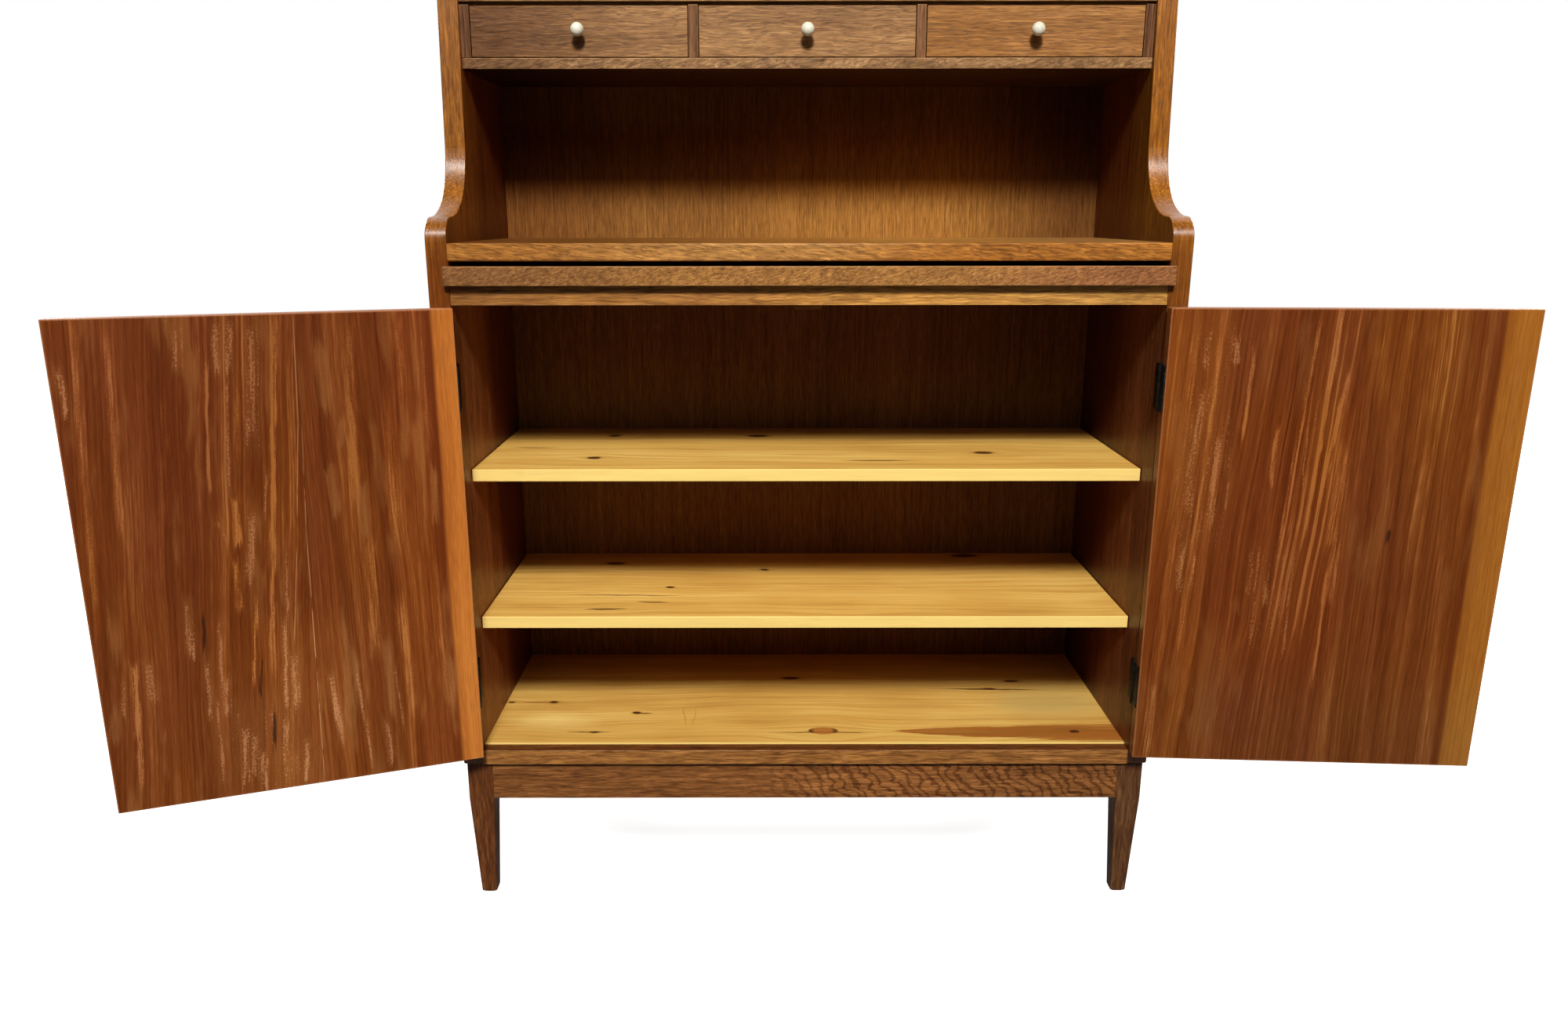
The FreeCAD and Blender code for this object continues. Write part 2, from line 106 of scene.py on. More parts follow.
DARK_LINE = (0.45, 0.40, 0.38)
PALE_LINE = (1.35, 1.42, 1.50)
CURL_DARK = (0.50, 0.43, 0.38)
CURL_SLOPE = 0.8
CURL_SWAY = 0.060
CURL_SPACING = 0.0165
WORN_EDGE = (0.52, 0.27, 0.10)

# Plain wood of the drawers and pegs, ivory of the knobs, and steel of the hinges
DRAWER_WOOD = (0.52, 0.34, 0.16)
PEG_WOOD = (0.48, 0.29, 0.12)
IVORY_DARK = (0.60, 0.565, 0.43)
IVORY_PALE = (0.74, 0.725, 0.62)
STEEL_BLACK = (0.012, 0.012, 0.013)
STEEL_DARK = (0.030, 0.029, 0.028)
STEEL_WORN = (0.160, 0.150, 0.140)

# Door veneer, from its dark stripes to its pale ones
DOOR_TONES = (
    (0.12, (0.075, 0.0140, 0.0016)),
    (0.35, (0.120, 0.0255, 0.0036)),
    (0.50, (0.148, 0.0345, 0.0058)),
    (0.65, (0.190, 0.0500, 0.0098)),
    (0.90, (0.330, 0.1150, 0.0310)),
)
SAPWOOD_TONES = ((0.30, (0.235, 0.066, 0.0100)), (0.70, (0.330, 0.108, 0.0175)))
DOOR_RED = (0.100, 0.0175, 0.0030)
DOOR_PURPLE = (0.96, 0.92, 1.10)
DOOR_ORANGE = (1.05, 1.06, 0.85)
# Rubbed veneer, also used for the painted highlight along the door's edges.
WORN_AND_HIGHLIT_VENEER = (0.410, 0.162, 0.0640)
HAZE = (0.255, 0.090, 0.0235)
CRACK = (0.400, 0.170, 0.0700)
GASH = (0.020, 0.008, 0.004)

# Door marks, read off, then computed in millimetres from the left edge: top, bottom and half width
LEFT_MARKS = {
    "light": (
        (30, 790, 10, 462, 4), (60, 789, 47, 561, 4), (105, 706, 94, 566, 4), (180, 728, 169, 587, 3),
        (381, 487, 381, 327, 5), (305, 524, 301, 382, 8), (331, 441, 342, 301, 8),
        (384, 788, 383, 635, 4), (340, 701, 336, 525, 7), (358, 783, 355, 674, 4),
        (304, 790, 293, 573, 6),
    ),
    "bright": (
        (153, 741, 140, 605, 2), (166, 587, 163, 538, 4), (225, 778, 185, 397, 3),
        (39, 403, 32, 313, 4), (33, 309, 28, 251, 2.5), (158, 516, 156, 457, 4),
        (175, 466, 160, 363, 1.5),
    ),
    "worn": (
        (126, 780, 123, 734, 4), (167, 787, 162, 734, 5.5), (180, 789, 174, 733, 6),
        (172, 730, 159, 588, 2.5), (203, 788, 189, 648, 8), (181, 573, 170, 488, 6.5),
        (144, 563, 150, 542, 4), (10, 743, 12, 694, 5), (201, 618, 193, 557, 2), (102, 472, 98, 407, 6),
        (133, 444, 126, 372, 3), (115, 398, 110, 322, 4), (132, 376, 128, 327, 6.5),
        (53, 403, 54, 354, 7), (26, 386, 21, 340, 3), (120, 353, 113, 222, 2.5),
        (146, 311, 140, 238, 7), (155, 300, 149, 240, 6), (203, 440, 192, 325, 4),
        (210, 394, 202, 317, 7), (275, 393, 284, 230, 2.5), (247, 365, 252, 268, 6),
        (305, 292, 308, 236, 4.5), (321, 362, 324, 278, 2), (161, 277, 159, 222, 7),
        (191, 315, 184, 220, 6), (212, 283, 206, 226, 4.5), (214, 533, 200, 395, 2),
    ),
    "haze": (
        (271, 759, 273, 688, 8), (268, 616, 273, 559, 6), (301, 594, 301, 527, 7),
        (384, 607, 382, 543, 4), (286, 676, 283, 640, 3), (314, 393, 312, 298, 5.5),
    ),
    "cracks": (
        (247, 793, 240, 672, 0.7), (240, 672, 229, 567, 0.6), (243, 659, 237, 553, 0.5),
        (224, 521, 211, 415, 0.5), (236, 531, 227, 225, 0.6),
    ),
    "soft": ((345, 600, 350, 420, 9), (60, 620, 40, 460, 8)),
    "ribbon": ((195, 800, 185, 545, 45),),
    "dust": ((165, 345, 168, 190, 60),),
    "gashes": ((117, 451, 112, 403, 1.6), (172, 386, 167, 346, 1.5), (179, 321, 175, 275, 2)),
}
RIGHT_MARKS = {
    "light": (
        (31, 786, 22, 358, 4.5), (61, 787, 45, 359, 4), (217, 634, 215, 508, 8),
        (223, 516, 218, 440, 7.5), (15, 327, 20, 222, 8),
    ),
    "soft": (
        (274, 787, 272, 635, 6), (272, 635, 284, 248, 6.5), (313, 788, 311, 669, 9.5),
        (361, 788, 367, 580, 3), (310, 616, 316, 488, 5.5), (240, 754, 250, 699, 7),
        (316, 425, 323, 239, 6.5), (348, 500, 363, 250, 4.5),
    ),
    "bright": (
        (99, 748, 97, 642, 2.5), (170, 787, 154, 507, 2.5), (136, 652, 134, 588, 2.5),
        (195, 787, 182, 518, 2.2), (209, 717, 196, 573, 2.7), (215, 469, 215, 330, 1.5),
    ),
    "worn": (
        (44, 707, 39, 546, 8), (78, 764, 79, 731, 7), (47, 770, 44, 725, 5.5), (69, 652, 67, 526, 6.5),
        (85, 591, 85, 556, 2), (131, 514, 132, 382, 3), (121, 503, 124, 438, 4.5),
        (152, 515, 156, 396, 1.2), (162, 504, 163, 408, 2), (173, 510, 174, 367, 2.3),
        (143, 467, 145, 435, 5.5), (39, 513, 36, 442, 7.5), (54, 503, 53, 442, 3),
        (171, 673, 172, 587, 1.2),
    ),
    "haze": ((107, 441, 111, 419, 5.5), (84, 401, 84, 241, 11.5)),
    "ribbon": ((185, 800, 170, 400, 48),),
    "dust": ((60, 800, 60, 500, 45), (150, 520, 150, 360, 40)),
    "gashes": ((282, 530, 281, 514, 2.2),),
}

# Pine, from its brown growth lines to its pale wood
PINE_TONES = (
    (0.20, (0.480, 0.225, 0.0400)),
    (0.42, (0.690, 0.390, 0.0850)),
    (0.60, (0.790, 0.485, 0.1150)),
    (0.85, (0.900, 0.620, 0.1800)),
)
PINE_BROWN = (0.300, 0.115, 0.0200)
PINE_RED = (0.360, 0.120, 0.0190)
PINE_KNOT = (0.060, 0.018, 0.005)
PINE_RING = (0.70, 0.54, 0.40)
PINE_GREY = (0.520, 0.370, 0.1200)
PINE_PALE = (0.930, 0.710, 0.2400)

# Knots: place, half length and half width; lines and wedges: start, end and half width; all in millimetres
UPPER_KNOTS = ((-280, -57, 9, 7), (-272, 98, 8, 8), (-63, 97, 15, 9), (243, -26, 13, 7))
UPPER_LINES = ((-410, 12, -330, 10, 2.5), (40, -78, 150, -76, 3))
LOWER_KNOTS = ((-187, -6, 6, 4), (-54, 75, 6, 4), (255, 146, 20, 8), (-279, 107, 14, 6))
LOWER_LINES = ((-340, -38, -150, -44, 2), (-232, -68, -180, -72, 3), (-300, -100, -230, -96, 4))
BOTTOM_KNOTS = ((-418, -22, 5, 3), (-357, -22, 6, 4), (-234, -57, 6, 4), (-284, -119, 7, 3),
                (279, 24, 10, 3), (317, 53, 11, 4), (-15, 65, 14, 4), (367, -119, 7, 5))
BOTTOM_LINES = ((-418, -22, -330, -23, 1.5), (-330, -120, -255, -118, 2), (-60, -120, 110, -121, 2),
                (200, 25, 365, 21, 3), (-240, -57, -208, -60, 2.5), (-172, -30, -160, -105, 0.8),
                (-150, -35, -154, -108, 0.7))
BOTTOM_WEDGES = ((120, -117, 440, -122, 30),)
BOTTOM_EYES = ((26, -116, 18, 10),)
BOTTOM_PATCHES = (((350, -20, 70, 60), PINE_GREY), ((-345, -87, 50, 22), PINE_PALE))
# The rear strip of each pine board is darkened: painted shade where the board above shadows it.
PINE_REAR_SHADE = (0.62, 0.52, 0.42)


class Graph:
    """One material's node tree, with a short call for each kind of node that the finishes use."""

    def __init__(self, name):
        self.material = bpy.data.materials.new(name)
        self.material.use_nodes = True
        self.tree = self.material.node_tree
        self.shader = self.tree.nodes["Principled BSDF"]
        self.place = self.tree.nodes.new("ShaderNodeTexCoord").outputs["Object"]
        self.x, self.y, self.z = self.split(self.place)

    def feed(self, socket, value):
        if isinstance(value, bpy.types.NodeSocket):
            self.tree.links.new(value, socket)
        elif isinstance(value, tuple) and len(value) == 3 and socket.type == "RGBA":
            socket.default_value = value + (1.0,)
        else:
            socket.default_value = value

    def node(self, kind, *values, **settings):
        made = self.tree.nodes.new(kind)
        for key, value in settings.items():
            setattr(made, key, value)
        for socket, value in zip(made.inputs, values):
            self.feed(socket, value)
        return made

    def split(self, vector):
        return self.node("ShaderNodeSeparateXYZ", vector).outputs

    def math(self, operation, *values):
        return self.node("ShaderNodeMath", *values, operation=operation).outputs[0]

    def add(self, first, *others):
        for other in others:
            first = self.math("ADD", first, other)
        return first

    def sub(self, first, second):
        return self.math("SUBTRACT", first, second)

    def mul(self, first, *others):
        for other in others:
            first = self.math("MULTIPLY", first, other)
        return first

    def most(self, first, *others):
        for other in others:
            first = self.math("MAXIMUM", first, other)
        return first

    def least(self, first, *others):
        for other in others:
            first = self.math("MINIMUM", first, other)
        return first

    def gap(self, value, place):
        return self.math("ABSOLUTE", self.sub(value, place))

    def point(self, x, y, z):
        return self.node("ShaderNodeCombineXYZ", x, y, z).outputs[0]

    def dot(self, vector, direction):
        made = self.node("ShaderNodeVectorMath", vector, direction, operation="DOT_PRODUCT")
        return made.outputs["Value"]

    def noise(self, x, y, z, detail=2.0, rough=0.5):
        """Noise around 0.5 at a point whose coordinates are already scaled to noise cells."""
        made = self.node("ShaderNodeTexNoise", self.point(x, y, z))
        made.inputs["Scale"].default_value = 1.0
        made.inputs["Detail"].default_value = detail
        made.inputs["Roughness"].default_value = rough
        return made.outputs[0]

    def step(self, value, start, end):
        """Rises smoothly from 0 at start to 1 at end, or falls where end is below start."""
        low, high = (0.0, 1.0) if end > start else (1.0, 0.0)
        made = self.node("ShaderNodeMapRange", value, min(start, end), max(start, end), low, high)
        made.interpolation_type = "SMOOTHSTEP"
        return made.outputs[0]

    def blend(self, share, low, high, how="MIX"):
        made = self.node("ShaderNodeMix", data_type="RGBA", blend_type=how)
        colour_inputs = [socket for socket in made.inputs if socket.type == "RGBA"]
        self.feed(made.inputs[0], share)
        self.feed(colour_inputs[0], low)
        self.feed(colour_inputs[1], high)
        return next(socket for socket in made.outputs if socket.type == "RGBA")

    def tint(self, share, colour, factor):
        return self.blend(share, colour, factor, "MULTIPLY")

    def ramp(self, value, *stops):
        made = self.node("ShaderNodeValToRGB", value)
        elements = made.color_ramp.elements
        while len(elements) < len(stops):
            elements.new(0.5)
        for element, (place, colour) in zip(elements, stops):
            element.position = place
            element.color = tuple(colour) + (1.0,)
        return made.outputs[0]

    def finish(self, colour, roughness, height, depth=0.3 * MM, strength=0.35, gloss=0.18):
        """Feeds the shader: the colour, the roughness, and a bump of the given depth."""
        self.feed(self.shader.inputs["Base Color"], colour)
        self.feed(self.shader.inputs["Roughness"], roughness)
        self.shader.inputs["Specular IOR Level"].default_value = gloss
        bump = self.node("ShaderNodeBump")
        bump.inputs["Strength"].default_value = strength
        bump.inputs["Distance"].default_value = depth
        self.feed(bump.inputs["Height"], height)
        self.feed(self.shader.inputs["Normal"], bump.outputs[0])
        return self.material


def shade(colour, red, green, blue):
    return (colour[0] * red, colour[1] * green, colour[2] * blue)


def tones(graph, tone, colour):
    """A timber's colours from its dark growth lines to its pale ones, around its mean colour."""
    return graph.ramp(
        tone,
        (0.18, shade(colour, 0.42, 0.36, 0.34)),
        (0.42, shade(colour, 0.82, 0.80, 0.78)),
        (0.58, shade(colour, 1.12, 1.12, 1.12)),
        (0.82, shade(colour, 1.60, 1.72, 1.85)),
    )


def along_grain(graph, along, seed):
    """Coordinates along the grain and in the two directions across it, moved to the board's own spot."""
    order = {"x": (0, 1, 2), "y": (1, 0, 2), "z": (2, 0, 1)}[along]
    axes = (graph.x, graph.y, graph.z)
    return [graph.add(axes[axis], seed * (0.37 + 0.11 * place)) for place, axis in enumerate(order)]


def drifts(graph, finish, tints, places):
    """Multiplies a finish by each factor, where all the ranges that it comes in over have begun."""
    for factor, *ranges in tints:
        share = 1.0
        for axis, start, end in ranges:
            share = graph.mul(graph.step(places[axis], start * MM, end * MM), share)
        finish = graph.tint(share, finish, factor)
    return finish


def edge_gap(graph, node):
    """Distance from the nearest edge of a straight board: the middle one of the gaps to its faces."""
    low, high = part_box(node)
    gaps = []
    for axis, socket in enumerate((graph.x, graph.y, graph.z)):
        middle = (low[axis] + high[axis]) / 2
        gaps.append(graph.sub((high[axis] - low[axis]) / 2, graph.gap(socket, middle)))
    first, second, third = gaps
    smaller = graph.least(first, second)
    larger = graph.most(first, second)
    return graph.most(smaller, graph.least(larger, third))


def timber(node, along, colour, seed, figure=1.0, curl=8.0, slant=0.0, dashes=0.5, wear=0.5, tints=(),
           wild=None, bands=30.0, lines=(16.0, 210.0), crisp=0.6, gloss=0.2, rough=0.40, sheen=0.0):
    """Oiled mahogany: bands, wavy growth lines, fibre, dark pores, rubbed edges and drifts of colour."""
    graph = Graph("timber_" + node)
    length, across, depth = along_grain(graph, along, seed)
    drift = graph.mul(length, slant)
    across = graph.add(across, drift)
    depth = graph.add(depth, drift)
    sway = graph.noise(graph.mul(length, 16.0), graph.mul(across, 24.0), graph.mul(depth, 24.0))
    sway = graph.mul(graph.sub(sway, 0.5), curl * MM)
    across = graph.add(across, sway)
    depth = graph.add(depth, sway)

    def layer(lengthwise, crosswise, detail=2.0, rough=0.5):
        places = (graph.mul(length, lengthwise), graph.mul(across, crosswise), graph.mul(depth, crosswise))
        return graph.sub(graph.noise(*places, detail, rough), 0.5)

    broad = layer(1.4, bands)
    growth = layer(*lines, 3.0, 0.6)
    fibre = layer(40.0, 640.0, 2.0, 0.6)
    tone = graph.add(0.5, graph.mul(broad, 0.55 * figure), graph.mul(growth, 0.95 * figure))
    tone = graph.add(tone, graph.mul(fibre, 0.75))
    finish = tones(graph, tone, colour)
    fine = (0.9 * lines[0], 0.9 * lines[1])
    dark_lines = graph.step(graph.math("ABSOLUTE", layer(*fine, 1.0)), 0.07, 0.0)
    pale_lines = graph.step(graph.gap(layer(*fine, 1.0), 0.13), 0.05, 0.0)
    finish = graph.tint(graph.mul(dark_lines, crisp), finish, DARK_LINE)
    finish = graph.tint(graph.mul(pale_lines, crisp), finish, PALE_LINE)
    if wild is not None:
        ripple = graph.noise(graph.mul(graph.x, 26.0), seed, graph.mul(graph.z, 48.0), 3.0, 0.55)
        curls = graph.add(graph.x, graph.mul(graph.z, CURL_SLOPE), graph.mul(ripple, CURL_SWAY))
        wave = graph.math("SINE", graph.mul(curls, 2 * math.pi / CURL_SPACING))
        dark_curls = graph.mul(graph.step(wave, 0.1, 0.9), graph.step(graph.x, wild[0] * MM, wild[1] * MM))
        finish = graph.tint(dark_curls, finish, CURL_DARK)
    finish = drifts(graph, finish, tints, {"x": graph.x, "y": graph.y, "z": graph.z})
    pores = graph.step(layer(60.0, 900.0, 1.0), 0.09, 0.20)
    finish = graph.blend(graph.mul(pores, dashes), finish, PORE)
    if wear:
        spots = (graph.mul(graph.x, 60.0), graph.mul(graph.y, 60.0), graph.mul(graph.z, 60.0))
        patchy = graph.noise(*spots, 3.0)
        rubbed = graph.add(edge_gap(graph, node), graph.mul(patchy, 3.0 * MM))
        finish = graph.blend(graph.mul(graph.step(rubbed, 2.8 * MM, 1.4 * MM), wear), finish, WORN_EDGE)
    roughness = graph.add(rough, graph.mul(growth, 0.25), graph.mul(pores, 0.15))
    height = graph.sub(graph.mul(fibre, 0.6), graph.mul(pores, 0.8))
    if sheen:
        graph.shader.inputs["Anisotropic"].default_value = sheen
        graph.feed(graph.shader.inputs["Tangent"], graph.point(1.0, 0.0, 0.0))
    return graph.finish(finish, roughness, height, gloss=gloss)


def strokes(graph, u, z, marks, outer, inner):
    """Long soft marks on a door: 1 inside any of them, falling to 0 beside it and past its ends."""
    place = graph.point(u, z, 1.0)
    nearest = 2.0
    for top_u, top_z, bottom_u, bottom_z, half_width in marks:
        lean = (bottom_u - top_u) / (top_z - bottom_z)
        start = top_u + top_z * lean
        middle = (top_z + bottom_z) / 2
        half = (top_z - bottom_z) / 2
        beside = graph.dot(place, (1 / (half_width * MM), lean / (half_width * MM), -start / half_width))
        beyond = graph.dot(place, (0.0, 1 / (half * MM), -middle / half))
        beyond = graph.math("MULTIPLY_ADD", graph.math("ABSOLUTE", beyond), 2.4, -1.5)
        mark = graph.most(graph.math("ABSOLUTE", beside), beyond)
        nearest = graph.least(mark, nearest)
    return graph.step(nearest, outer, inner)


def door_span(side):
    """A door's hinge pivot, its directions to the free edge and out of its inner face, and its width."""
    joint = next(joint for joint in frame["joints"] if joint["child"] == "door_" + side)
    pivot = Vector(joint["pos_m"])
    opening = math.radians(-joint["range_deg"][0])
    outward = 1.0 if side == "right" else -1.0
    reach = Vector((-outward * math.cos(opening), -math.sin(opening), 0.0))
    inward = Vector((-outward * math.sin(opening), math.cos(opening), 0.0))
    reaches = [(vertex.co - pivot).dot(reach) for vertex in nodes["door_" + side].data.vertices]
    return pivot, reach, inward, min(reaches), max(reaches)


def door_veneer(side, seed, seam, tilts, band, sap_gain, wear, marks, tints):
    """Striped veneer in two leaves, with sapwood at one edge and marks where the finish is worn."""
    graph = Graph("door_veneer_" + side)
    pivot, reach, inward, near, far = door_span(side)
    low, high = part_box("door_" + side)
    arm = graph.node("ShaderNodeVectorMath", graph.place, pivot, operation="SUBTRACT").outputs[0]
    along = graph.dot(arm, reach)
    inner_face = graph.step(graph.dot(arm, inward), 12.0 * MM, 16.0 * MM)
    z = graph.z
    u = graph.sub(along, near) if side == "right" else graph.sub(far, along)
    width = far - near
    down = graph.mul(graph.sub(high.z, z), 1.0 / (high.z - low.z))
    level = graph.sub(z, (low.z + high.z) / 2)

    from_seam = graph.sub(u, graph.add(seam[0] * MM, graph.mul(down, (seam[1] - seam[0]) * MM)))
    right_leaf = graph.step(from_seam, -0.3 * MM, 0.3 * MM)
    lean = graph.add(tilts[0], graph.mul(right_leaf, tilts[1] - tilts[0]))
    flow = graph.sub(u, graph.mul(level, lean))
    flow = graph.add(flow, graph.mul(right_leaf, 0.83), seed)
    wander = graph.sub(graph.noise(graph.mul(flow, 16.0), graph.mul(z, 4.5), 0.0, 1.0), 0.5)
    flow = graph.add(flow, graph.mul(wander, 12.0 * MM))

    def layer(across, lengthwise, detail=2.0, rough=0.5):
        value = graph.noise(graph.mul(flow, across), graph.mul(z, lengthwise), 0.0, detail, rough)
        return graph.sub(value, 0.5)

    broad = layer(24.0, 0.8)
    stripe = layer(85.0, 1.5)
    fine = layer(340.0, 4.0, 3.0, 0.6)
    fibre = layer(1000.0, 40.0)
    thread = layer(300.0, 14.0, 3.0, 0.65)
    granule = layer(560.0, 330.0, 2.0, 0.7)
    dark_lines = graph.step(graph.math("ABSOLUTE", layer(150.0, 2.2, 1.0)), 0.06, 0.0)
    ragged = graph.add(u, graph.mul(layer(60.0, 25.0, 3.0), 6.0 * MM))
    frayed = graph.add(z, graph.mul(thread, 60.0 * MM))

    def marked(kind, outer=1.5, inner=0.3, edge=ragged, end=frayed):
        return graph.mul(strokes(graph, edge, end, marks[kind], outer, inner), inner_face)

    tone = graph.add(0.46, graph.mul(broad, 0.75), graph.mul(stripe, 0.8), graph.mul(fine, 0.8))
    tone = graph.add(tone, graph.mul(fibre, 0.5), graph.mul(dark_lines, -0.10))
    texture = graph.add(0.6, graph.mul(thread, 2.0), graph.mul(granule, 1.2))
    tone = graph.add(tone, graph.mul(marked("light"), texture, 0.38))
    tone = graph.add(tone, graph.mul(marked("bright"), texture, 0.75))
    tone = graph.add(tone, graph.mul(marked("soft", 2.4, 0.0), 0.15))
    ribs = graph.step(layer(240.0, 1.3), 0.03, 0.16)
    tone = graph.add(tone, graph.mul(marked("ribbon"), ribs, 0.35))
    finish = graph.ramp(tone, *DOOR_TONES)
    warmth = graph.noise(graph.mul(flow, 9.0), graph.mul(z, 2.5), seed + 4.0, 2.0)
    finish = graph.tint(graph.step(warmth, 0.48, 0.64), finish, DOOR_PURPLE)
    finish = graph.tint(graph.step(warmth, 0.52, 0.36), finish, DOOR_ORANGE)

    band_width = graph.add(band[0] * MM, graph.mul(down, (band[1] - band[0]) * MM))
    from_band = graph.sub(u, graph.sub(width, band_width))
    from_band = graph.add(from_band, graph.mul(wander, 5.0 * MM))
    sap_tone = graph.add(0.54, graph.mul(fine, 1.0), graph.mul(fibre, 0.8), graph.mul(stripe, 0.6))
    sap_tone = graph.sub(sap_tone, graph.mul(graph.step(from_band, 16.0 * MM, 2.0 * MM), 0.2))
    sapwood = graph.ramp(sap_tone, *[(place, shade(colour, *sap_gain)) for place, colour in SAPWOOD_TONES])
    before_band = graph.mul(graph.step(from_band, -18.0 * MM, -5.0 * MM), 0.55)
    finish = graph.blend(before_band, finish, DOOR_RED)
    finish = graph.blend(graph.step(from_band, -3.0 * MM, 3.0 * MM), finish, sapwood)

    patches = graph.noise(graph.mul(u, 9.0), graph.mul(z, 4.0), seed, 2.0)
    flames = graph.mul(graph.step(layer(48.0, 7.0, 3.0), 0.02, 0.16), graph.step(patches, 0.42, 0.58))
    haze = graph.most(marked("haze"), graph.mul(flames, 0.8))
    haze = graph.mul(haze, graph.add(0.65, graph.mul(thread, 1.4), graph.mul(granule, 0.8)))
    finish = graph.blend(graph.mul(haze, wear), finish, HAZE)

    scattered = graph.mul(graph.step(layer(150.0, 8.0, 3.0), 0.10, 0.25), graph.step(patches, 0.46, 0.60))
    spread = graph.most(graph.mul(scattered, 0.7), graph.mul(marked("dust"), 0.5), graph.mul(flames, 0.45))
    worn = graph.most(marked("worn", 1.8, 0.0), spread)
    finish = graph.blend(graph.mul(worn, 0.3 * wear), finish, HAZE)
    grains = graph.add(graph.mul(thread, 1.1), graph.mul(granule, 1.1))
    rubbed = graph.step(graph.add(graph.mul(worn, 0.5), grains), 0.38, 0.62)
    finish = graph.blend(graph.mul(rubbed, 0.35 + 0.3 * wear), finish, WORN_AND_HIGHLIT_VENEER)
    if "cracks" in marks:
        broken = graph.step(graph.noise(graph.mul(u, 60.0), graph.mul(z, 25.0), seed, 2.0), 0.36, 0.48)
        finish = graph.blend(graph.mul(marked("cracks", 1.5, 0.3, u, z), broken, 0.8), finish, CRACK)
    finish = graph.blend(graph.mul(marked("gashes"), 0.85), finish, GASH)
    joint = graph.step(graph.math("ABSOLUTE", from_seam), 0.8 * MM, 0.2 * MM)
    finish = graph.blend(graph.mul(joint, 0.35), finish, GASH)
    finish = drifts(graph, finish, tints, {"u": u, "z": z})

    # Pale along the door's edges: a painted highlight on the arris, together with rubbed finish.
    from_side = graph.least(u, graph.sub(width, u))
    from_end = graph.least(graph.sub(z, low.z), graph.sub(high.z, z))
    arris = graph.add(graph.least(from_side, from_end), graph.mul(granule, 2.0 * MM))
    finish = graph.blend(graph.mul(graph.step(arris, 2.2 * MM, 0.8 * MM), 0.5), finish, WORN_AND_HIGHLIT_VENEER)

    roughness = graph.add(0.40, graph.mul(rubbed, 0.2), graph.mul(fine, 0.2))
    height = graph.add(graph.mul(fibre, 0.5), graph.mul(rubbed, 0.4))
    return graph.finish(finish, roughness, height, gloss=0.14)


